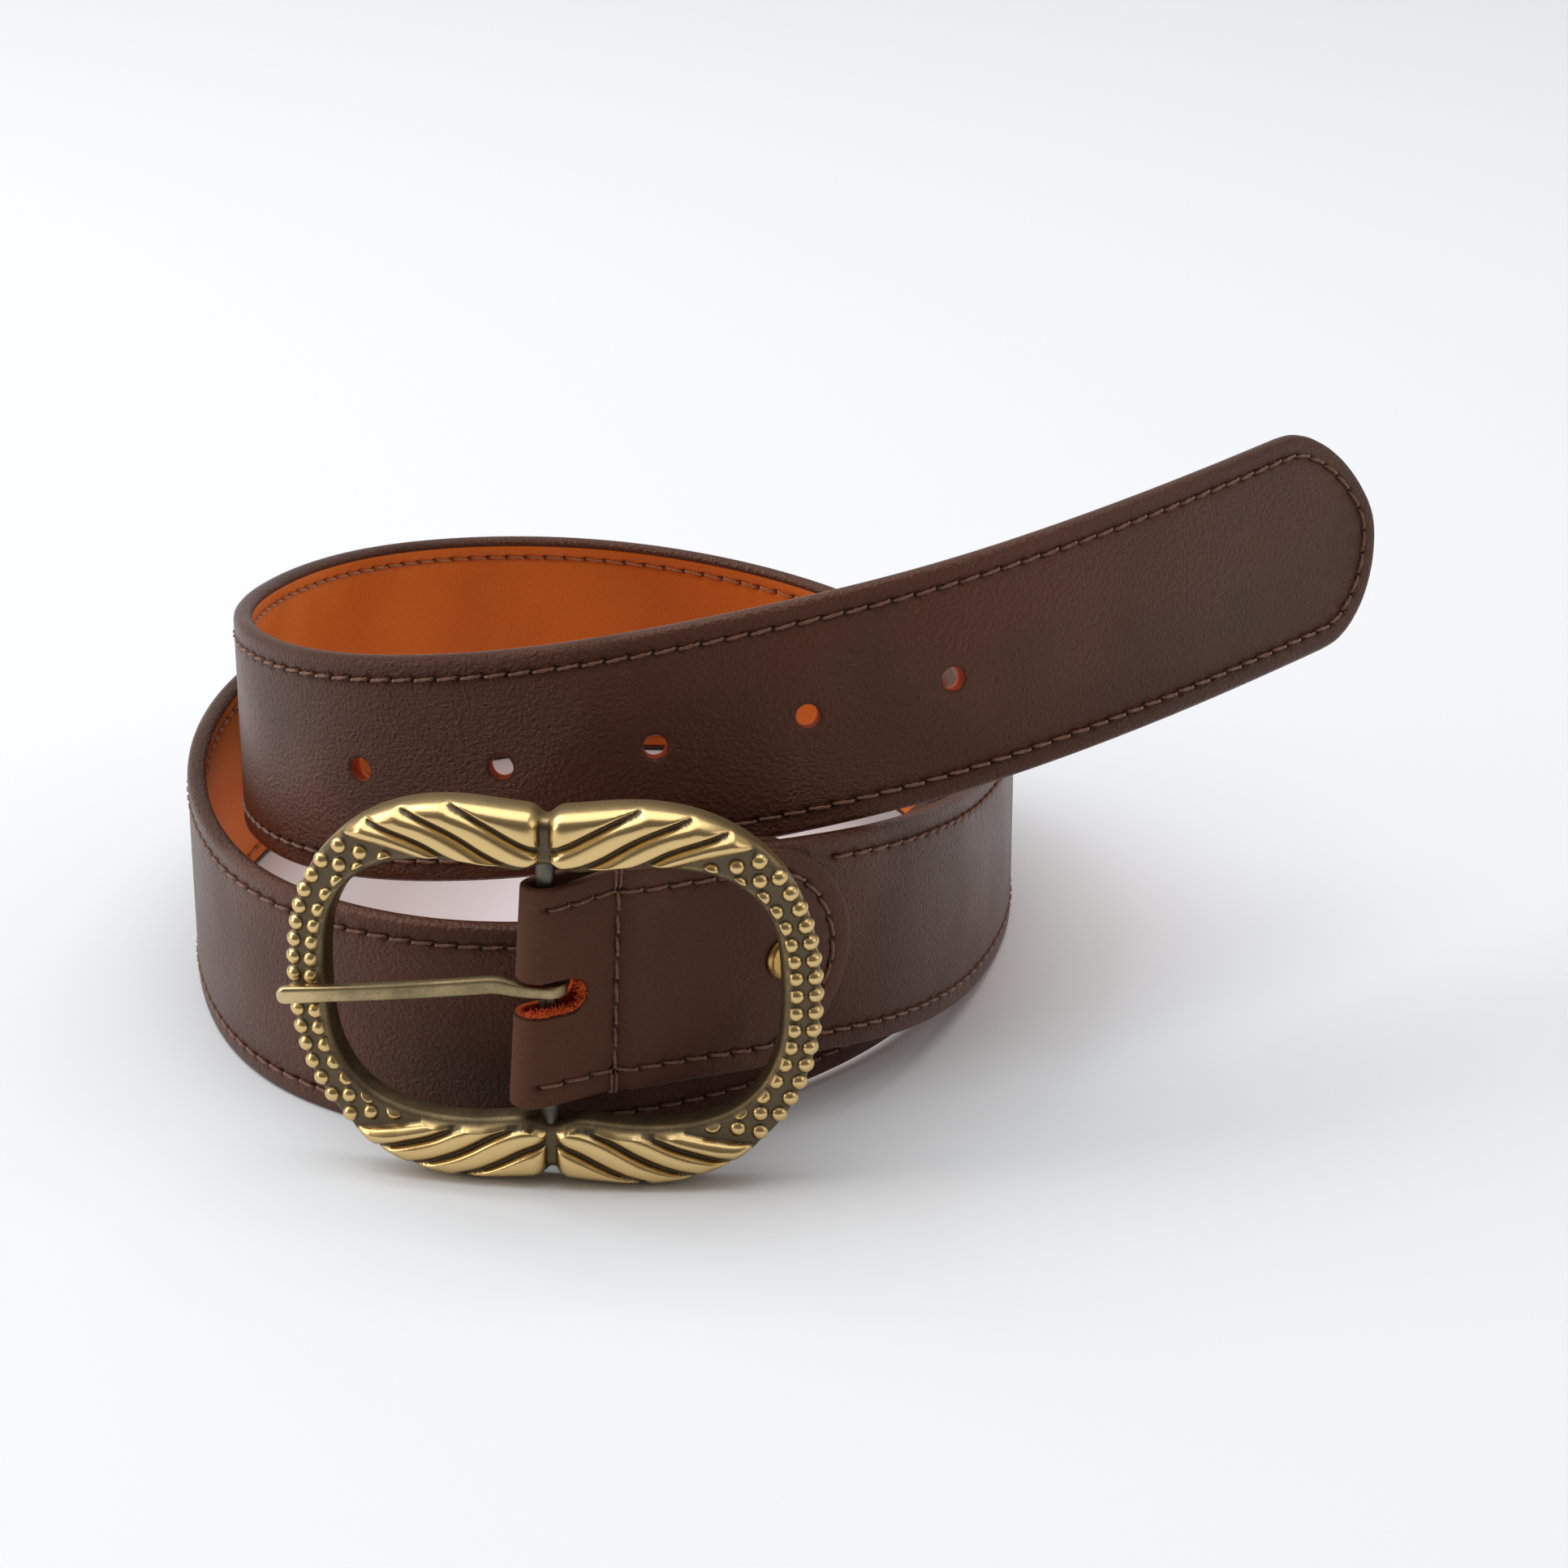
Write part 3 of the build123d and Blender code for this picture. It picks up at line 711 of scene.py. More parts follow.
turns = np.linspace(0, math.pi, 9)
edge_round = [(EDGE * (1 - math.sin(turn) ** 0.8), THICKNESS / 2 * (1 - math.cos(turn))) for turn in turns]
strap_openings = [(place, 0, 0, HOLE_RADIUS) for place in HOLE_PLACES]
strap_openings.append((SCREW_PLACE, 0, 0, SCREW_HOLE_RADIUS))


def strap_piece(name, node, material, inwards, top_depth, top_inset, profile, bottom_depth,
                bottom_inset):
    """One leather of the strap. Inwards is 1 where the seen face looks outwards, and -1 for the lining."""
    columns, top_lane, bottom_lane = side_columns(top_depth, top_inset, profile, bottom_depth, bottom_inset)
    openings = [(*opening, top_lane, bottom_lane, top_depth, bottom_depth) for opening in strap_openings]
    points, faces, fields = bent_sheet(belt, strap_outline, strap_rows, columns, openings,
                                       strap_sink(top_depth, inwards), True)
    return new_piece(name, points, faces, "strap", [node], material, fields, weld=True)


LINING_DEPTH = THICKNESS - 0.03
lining_edge = [(EDGE + 0.06, LINING_DEPTH - 0.14), (EDGE + 0.05, FACE_THICKNESS + 0.3)]
strap_piece("strap_face_leather", "strap_face", FACE_LEATHER, 1, 0.0, EDGE, edge_round[1:],
            FACE_THICKNESS, EDGE)
strap_piece("strap_lining_leather", "strap_lining", LINING_LEATHER, -1, LINING_DEPTH,
            EDGE + 0.22, lining_edge, FACE_THICKNESS + 0.05, EDGE + 0.1)


NEEDLE_GAP = 0.1         # between a stitch's end and the middle of its needle hole
STITCH_DEPTH = 0.10      # how far below the strap's faces its stitches lie


def needle_spans(needles, outline):
    """Each stitch's start and end, on both sides, with one across the end's middle."""
    last = needles[-1]
    spans = [(a + NEEDLE_GAP, b - NEEDLE_GAP, side, False)
             for a, b in zip(needles[:-1], needles[1:]) for side in (1, -1)]
    return spans + [(last + NEEDLE_GAP, 2 * outline.end - last - NEEDLE_GAP, 1, True)]


spans = needle_spans(strap_needles, strap_outline)
points, faces = sew(belt, strap_outline, spans, STITCH_DEPTH, -1)
new_piece("strap_face_stitches", points, faces, "strap", ["face_thread"], FACE_THREAD)
points, faces = sew(belt, strap_outline, spans, LINING_DEPTH - STITCH_DEPTH, 1)
new_piece("strap_lining_stitches", points, faces, "strap", ["lining_thread"],
          LINING_THREAD)

# ---------------------------------------------------------------- the buckle tab
TAB_PITCH = 4.1
SLOT_RADIUS = 2.75
SLOT_HEIGHT = -0.55
SLOT_AXIS = FOLD_HALF + 6.7 - SLOT_RADIUS
SEAM_PITCH = 3.9
seam_needles = np.arange(-4, 5) * SEAM_PITCH
tab_outline = Outline(0.0, FOLD_HALF + TAB_LENGTH, TAB_ROUNDING, 1.5)
tab_needles = needle_holes(tab_outline, 0.4, TAB_PITCH)
half_rows = sheet_rows(tab_outline, tab_needles, 0.0, 0.8)
half_rows = np.array(sorted(set(half_rows.round(3)) | set(np.arange(1.0, 24.0, 0.7).round(3))))
half_rows = half_rows[np.concatenate([[True], np.diff(half_rows) > 0.12])]
half_rows[-1] = tab_outline.end
tab_rows = np.concatenate([-half_rows[:0:-1], half_rows])
seam_at = FOLD_HALF + CROSS_SEAM


def tab_sink(path, total, distance, across, lift):
    seen = np.abs(lift - TAB_THICKNESS) < 0.01
    fall, painted_shade = puncture(path, total, tab_needles, 0.16, 0.7)
    seam = np.abs(np.abs(distance) - seam_at)
    hole = np.abs(across[:, None] - seam_needles[None, :]).min(axis=1)
    pit = np.exp(-(seam / 0.45) ** 2 - (hole / 0.45) ** 2)
    fall = fall + 0.22 * np.exp(-(seam / 0.9) ** 2) + 0.6 * pit
    # the seam's needle pits get painted shade as well
    return -fall * seen, np.maximum(painted_shade, pit) * seen


tab_edge = [(0.32, TAB_THICKNESS - 0.06), (0.08, TAB_THICKNESS - 0.32), (0.0, TAB_THICKNESS / 2 + 0.15),
            (0.08, LAP_GAP + 0.25), (0.3, LAP_GAP + 0.04)]
columns, top_lane, bottom_lane = side_columns(TAB_THICKNESS, 0.75, tab_edge, LAP_GAP, 0.8)
openings = [(centre, height, axis, radius, top_lane, bottom_lane, TAB_THICKNESS, LAP_GAP)
            for centre, height, axis, radius in ((0.0, SLOT_HEIGHT, SLOT_AXIS, SLOT_RADIUS),
                                                 (FOLD_HALF + SCREW_PLACE, 0, 0, SCREW_HOLE_RADIUS),
                                                 (-FOLD_HALF - SCREW_PLACE, 0, 0, SCREW_HOLE_RADIUS))]
points, faces, fields = bent_sheet(tab_place, tab_outline, tab_rows, columns, openings, tab_sink, False)
reach = np.abs(fields["flat"][:, 0]) - FOLD_HALF
fields["nap"] = np.clip((18 - reach) / 8, 0, 1)
flesh = np.clip((0.75 - fields["flat"][:, 2]) / 0.2, 0, 1)
# the leather's raw back shows only close round the slot
beside_slot = np.abs(fields["flat"][:, 1] - SLOT_HEIGHT) < SLOT_RADIUS + 2
near_slot = (reach < SLOT_AXIS + SLOT_RADIUS + 2) * beside_slot
fields["raw"] = np.maximum(fields["raw"], flesh * near_slot)
new_piece("tab_leather_fold", points, faces, "strap", ["buckle_tab"], TAB_LEATHER, fields,
          weld=True)


def tab_side(sign):
    """The tab's outer leg where sign is 1, and its inner one where it is -1."""
    return lambda distance, across, lift: tab_place(distance * sign, across, lift)


def join(*meshes):
    """Several meshes as one list of points and one of faces."""
    points, faces, base = [], [], 0
    for part_points, part_faces in meshes:
        points.append(part_points)
        faces += [[index + base for index in face] for face in part_faces]
        base += len(part_points)
    return np.concatenate(points), faces


tab_spans = needle_spans(tab_needles, tab_outline)
points, faces = join(*(sew(tab_side(sign), tab_outline, tab_spans, TAB_THICKNESS - 0.08, 1)
                       for sign in (1, -1)))
new_piece("tab_stitches", points, faces, "strap", ["tab_thread"], FACE_THREAD)


def seam_stitches():
    """Stitches across the tab on both legs, and two turns of thread over each edge."""
    way = np.linspace(0, 1, STITCH_SAMPLES)
    rise = 0.09 - (STITCH_SAG + THREAD_RADIUS) * np.abs(2 * way - 1) ** 7
    paths, ups = [], []
    for sign in (1, -1):
        for low, high in zip(seam_needles[:-1], seam_needles[1:]):
            across = low + NEEDLE_GAP + (high - low - 2 * NEEDLE_GAP) * way
            along = sign * (seam_at + STITCH_SLANT * (1 - 2 * way))
            lift = TAB_THICKNESS - 0.10 + rise
            paths.append(tab_place(along, across, lift))
            ups.append(tab_place(along, across, lift + 1) - paths[-1])
    stitches = thread_tubes(np.array(paths), np.array(ups), THREAD_RADIUS)
    paths, ups = [], []
    outer_depth, inner_depth = PINCH - TAB_THICKNESS, THICKNESS - PINCH + TAB_THICKNESS
    corner = [(15.6, 0.35), (16.2, -0.1), (17.6, -0.1), (18.7, -0.06), (19.25, 0.3), (19.42, 0.9)]
    for side in (1, -1):
        for shift in (-0.42, 0.40):
            route_points = [(y, outer_depth + x) for y, x in corner]
            route_points += [(19.42, (outer_depth + inner_depth) / 2)]
            route_points += [(y, inner_depth - x) for y, x in corner[::-1]]
            across = np.array([p[0] for p in route_points]) * side
            depth = np.array([p[1] for p in route_points])
            along = CROSS_SEAM + shift + 0.2 * np.linspace(-1, 1, len(across))
            paths.append(belt(along, across, depth))
            ups.append(belt(along, across * 1.2, (depth - THICKNESS / 2) * 2) - paths[-1])
    wraps = thread_tubes(np.array(paths), np.array(ups), THREAD_RADIUS, twist=9)
    return join(stitches, wraps)


points, faces = seam_stitches()
new_piece("tab_cross_seam", points, faces, "strap", ["cross_seam_thread"], FACE_THREAD)


FIBRE_COUNT = 1100
FIBRE_RADIUS = 0.06


def slot_fibres():
    """Short fibres of raw leather round the slot's lower edge and its end."""
    count = FIBRE_COUNT
    rng = np.random.default_rng(7)
    half_length = SLOT_AXIS - 0.4 * FOLD_HALF
    around = rng.uniform(0, half_length + math.pi * SLOT_RADIUS * 0.8, count)
    turn = np.clip(around - half_length, 0, None) / SLOT_RADIUS - math.pi / 2
    axis = SLOT_AXIS - np.clip(half_length - around, 0, None)
    away = np.stack([np.cos(turn), np.sin(turn)], 1)
    root = np.stack([axis, np.full(count, SLOT_HEIGHT)], 1) + away * (SLOT_RADIUS + 0.03)
    lift = rng.uniform(LAP_GAP + 0.1, TAB_THICKNESS - 0.05, count)
    lean = np.stack([rng.normal(0, 0.45, count), rng.normal(0, 0.35, count)], 1)
    length = rng.uniform(0.4, 1.15, count)[:, None]
    tip = root - away * length * 0.8 + lean * length
    rise = lift + rng.uniform(-0.1, 0.5, count)
    paths = np.stack([tab_place(*(root + (tip - root) * share).T, lift + (rise - lift) * share**1.5)
                      for share in np.linspace(0, 1, 3)], 1)
    ups = np.broadcast_to(np.array([0.3, -1.0, 0.4]), paths.shape)
    return thread_tubes(paths, ups, FIBRE_RADIUS, sides=4, twist=0)


points, faces = slot_fibres()
new_piece("tab_slot_fibres", points, faces, "strap", [], FIBRES)


# ---------------------------------------------------------------- the screw
def turned(profile, segments, origin, axis):
    """Turn a profile of (radius, height) about an axis, closed at both ends on the axis."""
    axis = axis / np.linalg.norm(axis)
    first = np.cross(axis, (0, 0, 1.0))
    first /= np.linalg.norm(first)
    second = np.cross(axis, first)
    angles = np.linspace(0, 2 * math.pi, segments, endpoint=False)
    ring = np.cos(angles)[:, None] * first + np.sin(angles)[:, None] * second
    points = np.concatenate([origin + axis * height + ring * radius for radius, height in profile])
    return points, capped_tube(len(profile), segments)


place, inward, upward, along = (row[0] for row in route.stations(np.array([SCREW_PLACE])))
seat = place - inward * (TAB_THICKNESS + 0.02)
# the post's profile from the top of its head, round its rim and down its barrel, then up its bore
cap = [(0.3, 1.12), (1.6, 1.10), (2.2, 1.06), (2.35, 0.98), (2.5, 1.05), (3.0, 0.98), (3.4, 0.80),
       (3.68, 0.50), (3.78, 0.18), (3.72, 0.0), (3.0, 0.0), (2.2, -0.02), (2.2, -6.6), (2.1, -6.7),
       (1.5, -6.7), (1.45, -6.6), (1.45, -1.0), (0.2, -1.0)]
points, faces = turned(cap, 72, seat, -inward)
new_piece("screw_cap_post", points, faces, "strap", ["screw_post"], SCREW_BRASS)

# ---------------------------------------------------------------- the buckle
bar_low, bar_high = (np.array(corner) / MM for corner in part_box("centre_bar"))
BAR = (bar_low + bar_high) / 2

# The ring's outer outline: its distance from the middle is a sum of cosines, each given as
# (times the angle, size)
OUTLINE = [(0, 38.54), (2, 5.40), (4, -1.73), (8, -0.12)]
NECK_CUT = 1.5           # the outline's notch at the neck, and how wide it is
NECK_CUT_WIDTH = 1.5
# One quarter of the opening, then of the lobe's lower boundary, as (right, up) from the ring's middle
OPENING = [(36.2, 0.0), (36.0, 5.2), (35.2, 10.2), (33.2, 14.7), (30.8, 17.5), (28.1, 19.5), (25.1, 20.8),
           (22.3, 21.5), (19.5, 21.9), (15.5, 22.1), (11.0, 21.9), (7.0, 21.4), (4.4, 21.2), (2.6, 21.6),
           (1.2, 22.2), (0.0, 22.4)]
LOBE_LOWER = np.array([(33.6, 25.6), (32.2, 25.2), (28.3, 24.7), (24.2, 23.9), (20.3, 22.9), (16.5, 21.9),
                       (12.2, 21.3), (8.4, 20.8), (4.7, 20.6), (0.0, 21.4)])
# The grooves between a lobe's strands, each from the outer edge to the neck or the inner edge
GROOVES = [
    [(15.6, 32.2), (13.4, 31.3), (11.0, 30.3), (7.9, 28.7), (4.4, 26.7), (2.2, 25.7), (0.9, 25.2)],
    [(23.4, 30.8), (21.4, 30.2), (19.1, 29.5), (15.8, 28.2), (12.7, 26.6), (8.8, 24.2), (5.2, 22.6),
     (2.0, 22.1)],
    [(28.8, 28.3), (26.2, 27.7), (23.4, 26.9), (19.0, 25.4), (15.0, 23.4), (11.3, 22.0), (9.4, 21.4)],
]
GROOVE_CUT = 1.25
GROOVE_WIDTHS = (0.42, 0.72)      # on the steep side and on the gentle side
STRAND_SINK = 0.30                # the strands fall off towards the grooves
LOBE_RISE = 2.2
NECK = 0.75
OUTER_ROLL = 1.8
INNER_ROLL = 1.3
BACK_ROLL = 0.8
DOT_RADIUS = 1.30
DOT_HEIGHT = 1.0
# One quarter of the dots: the outer row, the inner row, then the few that end the rows at the lobe
DOTS = [
    (41.1, 0.0), (41.0, 3.0), (40.7, 6.0), (40.2, 9.0), (39.5, 11.9), (38.5, 14.8), (37.1, 17.5),
    (35.4, 20.2), (32.4, 23.1), (38.1, 0.0), (38.0, 3.0), (37.7, 5.9), (37.2, 8.8), (36.3, 11.7),
    (34.9, 14.5), (32.9, 17.0), (32.5, 19.9), (29.3, 19.6), (29.0, 22.4), (25.1, 21.9),
]


def curve_through(points, spacing, closed):
    """A smooth curve through points in any number of dimensions, at about even spacing."""
    points = np.asarray(points, float)
    count = len(points)
    spans = count if closed else count - 1
    at = (lambda i: points[i % count]) if closed else (lambda i: points[min(max(i, 0), count - 1)])
    result = []
    for i in range(spans):
        a, b, c, d = at(i - 1), at(i), at(i + 1), at(i + 2)
        steps = max(2, int(math.ceil(np.linalg.norm((c - b)[:2]) / spacing)))
        for t in np.linspace(0, 1, steps, endpoint=False):
            result.append(0.5 * (2 * b + (c - a) * t + (2 * a - 5 * b + 4 * c - d) * t**2
                                 + (3 * b - 3 * c + d - a) * t**3))
    return np.array(result if closed else result + [points[-1]])


def dome(value):
    """0 at 0, rising as a quarter circle to 1 at 1."""
    return np.sqrt(np.clip(1 - (1 - np.clip(value, 0, 1)) ** 2, 0, 1))


def beside(u, v, line):
    """Distance from points to a line, positive below it, and the share of the way along it."""
    fine = curve_through(line, 0.4, False)
    spot = np.stack([u, v], 1)
    gaps = np.linalg.norm(spot[:, None, :] - fine[None, :, :], axis=2)
    near = gaps.argmin(axis=1)
    ahead = fine[np.minimum(near + 1, len(fine) - 1)] - fine[np.maximum(near - 1, 0)]
    away = spot - fine[near]
    side = np.sign(ahead[:, 0] * away[:, 1] - ahead[:, 1] * away[:, 0])
    return gaps.min(axis=1) * side, near / (len(fine) - 1)


def lobe_height(u, v, from_outer):
    """How far the four lobes stand above the ring, and how rubbed they are, for points of the front."""
    u, v = np.abs(u), np.abs(v)
    lower = np.interp(u, LOBE_LOWER[::-1, 0], LOBE_LOWER[::-1, 1])
    above = np.where(u > LOBE_LOWER[0, 0], 0.0, (v - lower) * 0.95)
    swell = dome(from_outer / 3.8) * dome(above / 1.9) * dome((u - NECK) / 2.4)
    swell = swell * ease_in((LOBE_LOWER[0, 0] - u) / 5.0) ** 0.5
    cut = np.zeros_like(u)
    nearest = np.full_like(u, 9.0)
    for line in GROOVES:
        gap, share = beside(u, v, line)
        width = np.where(gap < 0, *GROOVE_WIDTHS)
        fade = ease_in(share / 0.10)
        cut = np.maximum(cut, np.exp(-(gap / width) ** 2) * fade)
        nearest = np.minimum(nearest, np.abs(gap) / np.maximum(fade, 0.05))
    rise = LOBE_RISE * swell - GROOVE_CUT * cut * np.minimum(1, swell * 1.5)
    rise = rise - STRAND_SINK * np.exp(-(nearest / 1.3) ** 2) * swell
    rub = ease_in((swell - 0.12) / 0.30) * (1 - ease_in(cut * 1.9 - 0.55))
    return rise, rub


def ring_outlines():
    """The ring's outer and inner outlines, point by point, all the way round."""
    quarter = np.array(OPENING)
    half = np.concatenate([quarter, quarter[-2::-1] * (-1, 1)])
    inner = curve_through(np.concatenate([half, half[-2:0:-1] * (1, -1)]), 0.16, True)
    angle = np.arctan2(inner[:, 1] * 1.32, inner[:, 0])
    radius = sum(size * np.cos(times * angle) for times, size in OUTLINE)
    outer = np.stack([radius * np.cos(angle), radius * np.sin(angle)], 1)
    outer[:, 1] -= np.sign(outer[:, 1]) * NECK_CUT * np.exp(-(outer[:, 0] / NECK_CUT_WIDTH) ** 2)
    return outer, inner


def bowed(u, v, forward):
    """Put points of the ring, drawn flat, onto its bowed and turned place."""
    turn = (u + FRAME_SHIFT) / BOW_RADIUS
    right = (BOW_RADIUS + forward) * np.sin(turn)
    ahead = (BOW_RADIUS + forward) * np.cos(turn) - BOW_RADIUS
    return turned_buckle(right, v, ahead)


def turned_buckle(right, up, ahead):
    cos, sin = math.cos(BUCKLE_TURN), math.sin(BUCKLE_TURN)
    turned_right = BAR[0] + right * cos - ahead * sin
    turned_back = BAR[1] - right * sin - ahead * cos
    return np.stack([turned_right, turned_back, BAR[2] + up], -1)


def ring_section():
    """The ring's section as (share of the way from inner to outer, mm to add, forward height).

    Also gives how many of its points are on the front and the outer roll, and how many on the inner roll.
    """
    front = [(g, INNER_ROLL * (1 - g) - OUTER_ROLL * g, FRAME_FRONT) for g in np.linspace(0, 1, 36)]
    quarter_turn = np.linspace(0, math.pi / 2, 9)[1:]
    outer_roll = [(1, -OUTER_ROLL * (1 - math.sin(t)), FRAME_FRONT - OUTER_ROLL * (1 - math.cos(t)))
                  for t in quarter_turn]
    back_out = [(1, -BACK_ROLL * (1 - math.cos(t)), -FRAME_BACK + BACK_ROLL * (1 - math.sin(t)))
                for t in np.linspace(0, math.pi / 2, 5)]
    back = [(g, BACK_ROLL * (1 - g) - BACK_ROLL * g, -FRAME_BACK) for g in np.linspace(1, 0, 6)[1:-1]]
    back_in = [(0, BACK_ROLL * (1 - math.sin(t)), -FRAME_BACK + BACK_ROLL * (1 - math.cos(t)))
               for t in np.linspace(0, math.pi / 2, 5)]
    inner_roll = [(0, INNER_ROLL * (1 - math.cos(t)), FRAME_FRONT - INNER_ROLL * (1 - math.sin(t)))
                  for t in np.linspace(0, math.pi / 2, 6)[:-1]]
    section = np.array(front + outer_roll + back_out + back + back_in + inner_roll)
    return section, len(front) + len(outer_roll), len(inner_roll)


def buckle_ring():
    outer, inner = ring_outlines()
    width = np.linalg.norm(outer - inner, axis=1)
    section, carved, inside = ring_section()
    across = section[:, 0][None, :] * width[:, None] + section[:, 1][None, :]
    way = (outer - inner) / width[:, None]
    flat = inner[:, None, :] + way[:, None, :] * across[:, :, None]
    forward = np.broadcast_to(section[:, 2][None, :], across.shape)
    base = np.concatenate([flat, forward[:, :, None]], axis=2)
    around = np.roll(base, -1, 0) - np.roll(base, 1, 0)
    over = np.roll(base, -1, 1) - np.roll(base, 1, 1)
    normal = np.cross(around, over)
    normal /= np.maximum(np.linalg.norm(normal, axis=2), 1e-9)[:, :, None]
    if normal[0, 20, 2] < 0:
        normal = -normal
    facing = np.clip(normal[:, :, 2], 0, 1)
    shaped = np.zeros(len(section), bool)
    shaped[:carved] = True
    grid = base[:, shaped].reshape(-1, 3)
    face = facing[:, shaped].ravel()
    rise, rub = lobe_height(grid[:, 0], grid[:, 1], (width[:, None] - across)[:, shaped].ravel())
    knob = np.zeros(len(grid))
    for u, v in DOTS:
        gap = np.hypot(np.abs(grid[:, 0]) - u, np.abs(grid[:, 1]) - v)
        knob = np.maximum(knob, np.clip(1 - (gap / DOT_RADIUS) ** 2, 0, None) ** 0.62)
    knob *= (rise < 0.25) * ease_in(face * 2.5)
    points = base.copy()
    lifted = base[:, shaped] + normal[:, shaped] * (knob * DOT_HEIGHT).reshape(-1, carved, 1)
    lifted[:, :, 2] += (rise * (face > 0.02)).reshape(-1, carved)
    points[:, shaped] = lifted
    rubbed = np.full(across.shape, 0.40)
    rubbed[:, -inside - 5:] = 0.30
    ground = np.maximum(0.16, 0.46 * ease_in((1 - face) * 1.6))
    ground = np.maximum(ground, ease_in(knob * 1.7 - 0.15))
    rubbed[:, shaped] = np.maximum(ground, rub).reshape(-1, carved)
    placed = bowed(points[:, :, 0], points[:, :, 1], points[:, :, 2]).reshape(-1, 3)
    quads = loop_quads(*across.shape, close_rows=True).reshape(-1, 4).tolist()
    new_piece("buckle_ring", placed, quads, "buckle", ["buckle_frame"], BRASS,
              {"rub": rubbed.ravel()})


buckle_ring()


# ---------------------------------------------------------------- the prong
# the arm's middle, from its tip to the bar: right of the bar, above the ring's middle, ahead of the bar
PRONG_PATH = [(-43.2, -2.5, 0.1), (-38.0, -1.95, 0.35), (-26.0, -0.7, 0.9), (-14.5, 0.75, 1.4),
              (-9.6, 1.42, 1.6), (-7.4, 1.55, 1.72), (-5.2, 1.20, 1.9), (-3.2, 0.95, 2.12),
              (-1.4, 0.88, 2.30)]
PRONG_SQUARE = 0.55      # 1 would make the prong's section an ellipse, and 0 a rectangle
EYE_RADIUS = 2.36
EYE_HEIGHT = 0.88


def prong():
    """A bar that lies across the ring, kinks down to the tab's slot and curls round the buckle's bar."""
    arm = curve_through(PRONG_PATH, 0.5, False)
    curl = np.radians(np.linspace(90, -205, 60))
    eye = np.stack([EYE_RADIUS * np.cos(curl), curl * 0 + EYE_HEIGHT, EYE_RADIUS * np.sin(curl)], 1)
    line = np.concatenate([arm, eye])
    run = np.concatenate([[0], np.cumsum(np.linalg.norm(np.diff(line, axis=0), axis=1))])
    even = np.concatenate([np.linspace(0, 1.6, 9), np.arange(1.9, run[-1] - 0.6, 0.4),
                           np.linspace(run[-1] - 0.5, run[-1], 5)])
    line = np.stack([np.interp(even, run, line[:, k]) for k in range(3)], 1)
    tangent = np.gradient(line[:, [0, 2]], even, axis=0)
    tangent /= np.linalg.norm(tangent, axis=1)[:, None]
    sideways = np.stack([-tangent[:, 1], tangent[:, 0]], 1)
    thin = ease_in((even - run[len(arm) - 1] + 8) / 8)
    half_thick = 1.12 * (1 - thin) + 0.75 * thin
    half_tall = 1.36 * (1 - thin) + 1.05 * thin + 0.10 * np.exp(-(even / 5) ** 2)
    end = np.minimum(dome((even + 0.02) / 1.5), dome((even[-1] - even + 0.05) / 0.6))
    angle = np.linspace(0, 2 * math.pi, 28, endpoint=False)
    wide, tall = (np.sign(part) * np.abs(part) ** PRONG_SQUARE for part in (np.cos(angle), np.sin(angle)))
    reach = wide[None, :, None] * (half_thick * end)[:, None, None]
    plan = line[:, None, [0, 2]] + sideways[:, None, :] * reach
    up = line[:, 1][:, None] + tall[None, :] * (half_tall * end)[:, None]
    points = turned_buckle(plan[:, :, 0], up, plan[:, :, 1]).reshape(-1, 3)
    faces = loop_quads(len(line), len(angle)).reshape(-1, 4).tolist()
    last = (len(line) - 1) * len(angle)
    faces += [list(range(len(angle)))[::-1], [last + k for k in range(len(angle))]]
    rub = 0.42 + 0.35 * np.exp(-(even / 9) ** 2)
    new_piece("prong_arm_eye", points, faces, "prong", ["prong"], PRONG_BRASS,
              {"rub": np.repeat(rub, len(angle))})


prong()

for node, metal in (("centre_bar", BAR_METAL), ("screw", SCREW_BRASS)):
    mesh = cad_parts[node].data
    mesh.materials.clear()
    mesh.materials.append(metal)

# ---------------------------------------------------------------- the studio
FLOOR_HALF = 4.0
floor_points = [(x * FLOOR_HALF / MM, y * FLOOR_HALF / MM, 0) for x in (-1, 1) for y in (-1, 1)]
floor_mesh = bpy.data.meshes.new("studio_floor")
floor_mesh.from_pydata([tuple(c * MM for c in p) for p in floor_points], [], [(0, 2, 3, 1)])
floor = bpy.data.objects.new("studio_floor", floor_mesh)
bpy.context.scene.collection.objects.link(floor)
floor_mesh.materials.append(studio_floor())

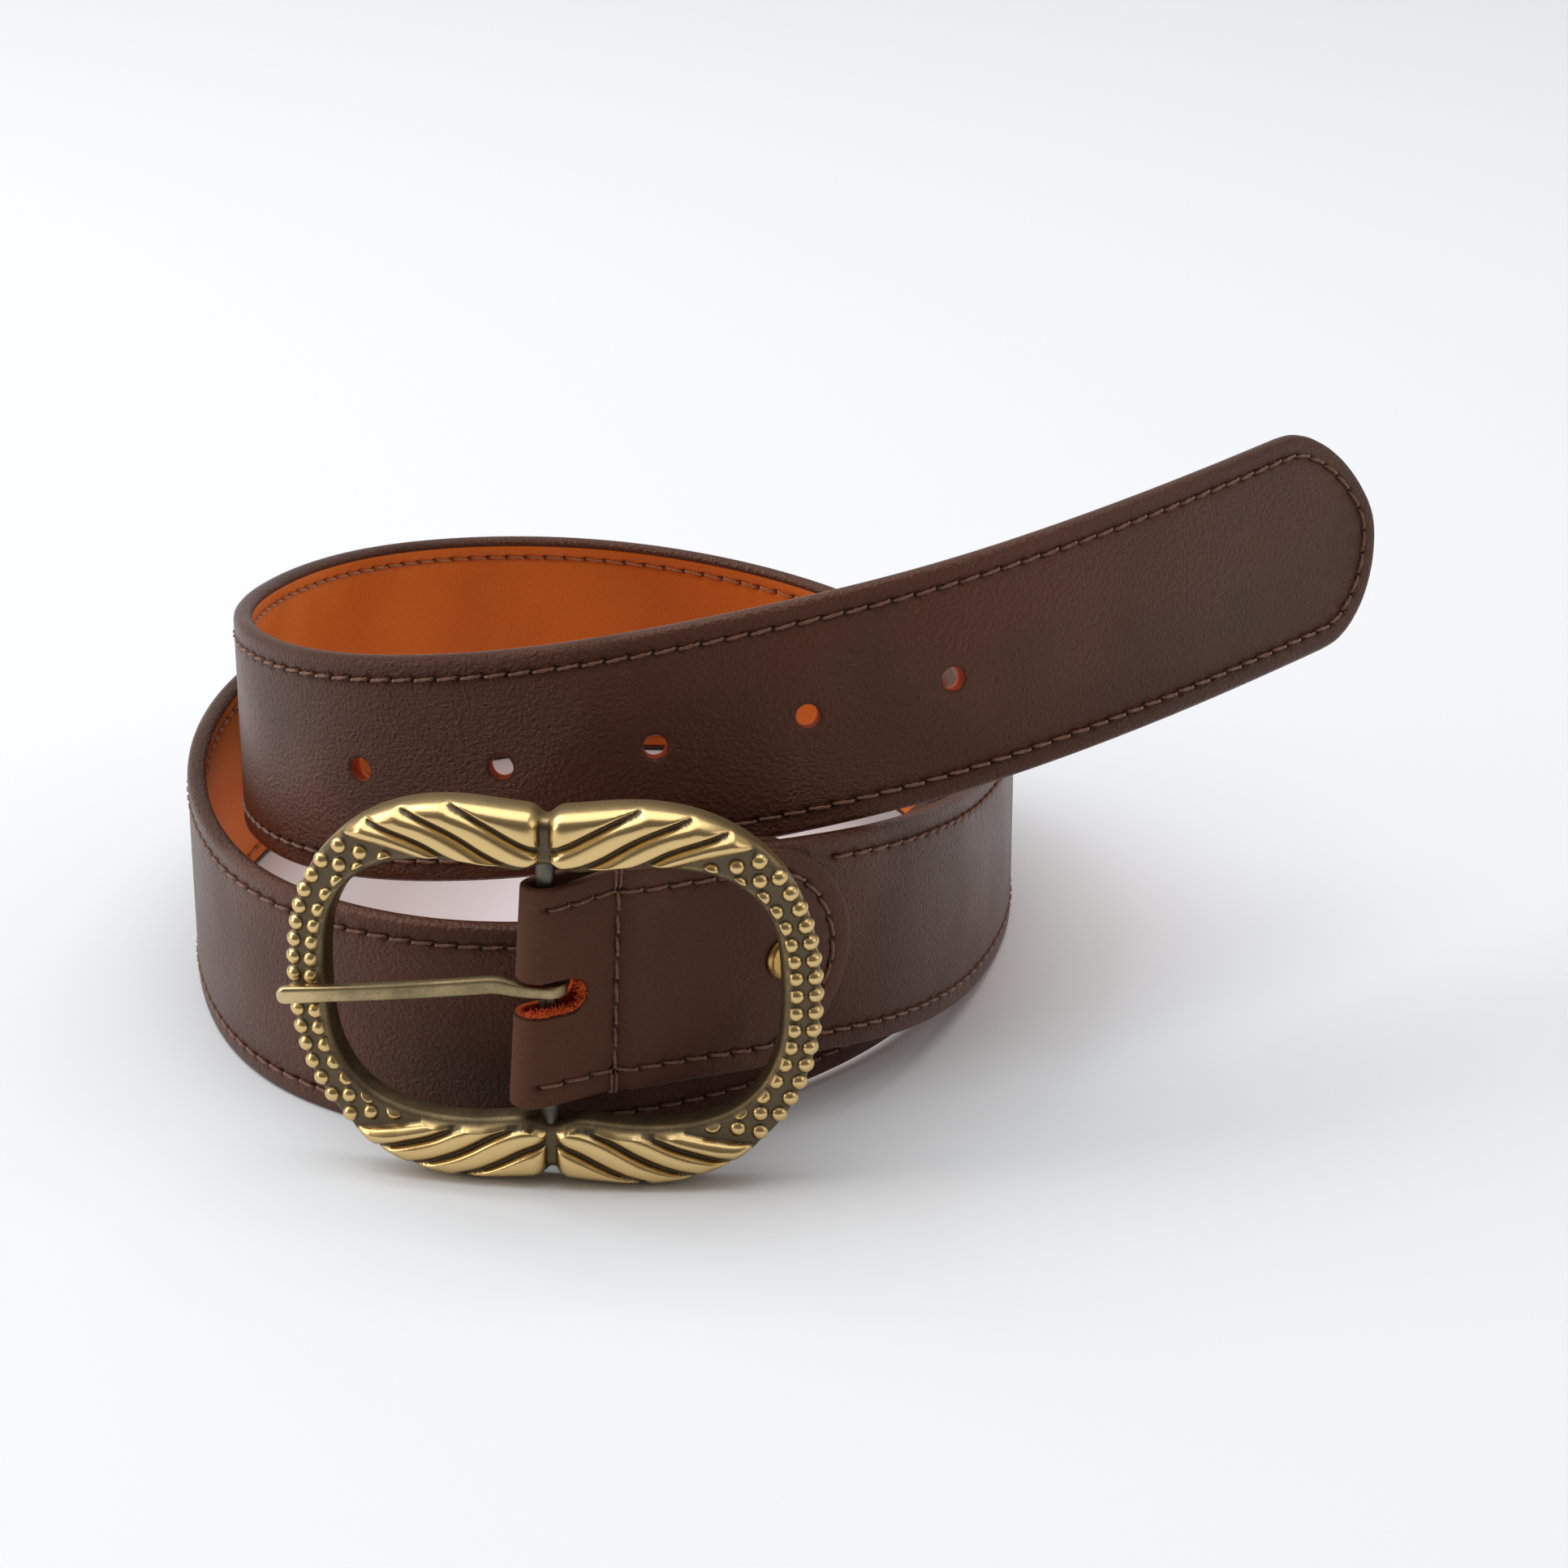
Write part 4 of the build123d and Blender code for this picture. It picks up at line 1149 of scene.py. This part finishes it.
CAMERA_AIM = Vector((0.00035, 0.07473, 0.0))
CAMERA_ELEVATION = math.radians(22.3426)
CAMERA_DISTANCE = 0.7878
camera_data = bpy.data.cameras.new("camera")
camera_data.lens = 91.74
camera_data.sensor_width = 36.0
camera_data.clip_start, camera_data.clip_end = 0.01, 20
camera = bpy.data.objects.new("camera", camera_data)
back = Vector((0, -math.cos(CAMERA_ELEVATION), math.sin(CAMERA_ELEVATION)))
camera.location = CAMERA_AIM + back * CAMERA_DISTANCE
camera.rotation_euler = (-back).to_track_quat("-Z", "Y").to_euler()
bpy.context.scene.collection.objects.link(camera)
bpy.context.scene.camera = camera


def soft_light(name, place, aim, size, power, colour):
    data = bpy.data.lights.new(name, "AREA")
    data.shape, data.size, data.size_y = "RECTANGLE", size[0], size[1]
    data.energy, data.color = power, colour
    light = bpy.data.objects.new(name, data)
    light.location = place
    light.rotation_euler = (Vector(place) - Vector(aim)).to_track_quat("Z", "Y").to_euler()
    bpy.context.scene.collection.objects.link(light)


soft_light("key", (-1.3, 0.4, 1.3), (0, 0, 0.03), (1.3, 1.3), 15.5, (0.91, 0.97, 1.0))
soft_light("top", (0.0, 0.25, 1.9), (0, 0, 0), (2.2, 1.8), 21.5, (0.95, 0.98, 1.0))
soft_light("left", (-1.5, -0.30, 0.55), (-0.1, 0, 0.03), (0.5, 0.8), 6.5, (1.0, 0.88, 0.77))
soft_light("right", (1.6, -0.3, 0.9), (0, 0, 0.05), (1.0, 1.2), 4, (1.0, 0.95, 0.9))


def room():
    """A pale room that is darker on the side that the buckle faces."""
    world = bpy.data.worlds.new("room")
    world.use_nodes = True
    nodes, links = world.node_tree.nodes, world.node_tree.links
    where = nodes.new("ShaderNodeTexCoord")
    axes = nodes.new("ShaderNodeSeparateXYZ")
    level = nodes.new("ShaderNodeMapRange")
    level.inputs["From Min"].default_value, level.inputs["From Max"].default_value = -0.8, 0.6
    level.inputs["To Min"].default_value, level.inputs["To Max"].default_value = 0.15, 0.47
    links.new(where.outputs["Generated"], axes.inputs[0])
    links.new(axes.outputs["Y"], level.inputs["Value"])
    links.new(level.outputs[0], nodes["Background"].inputs["Strength"])
    nodes["Background"].inputs["Color"].default_value = (1.0, 0.945, 0.89, 1)
    return world


bpy.context.scene.world = room()
bpy.context.scene.view_settings.view_transform = "Standard"
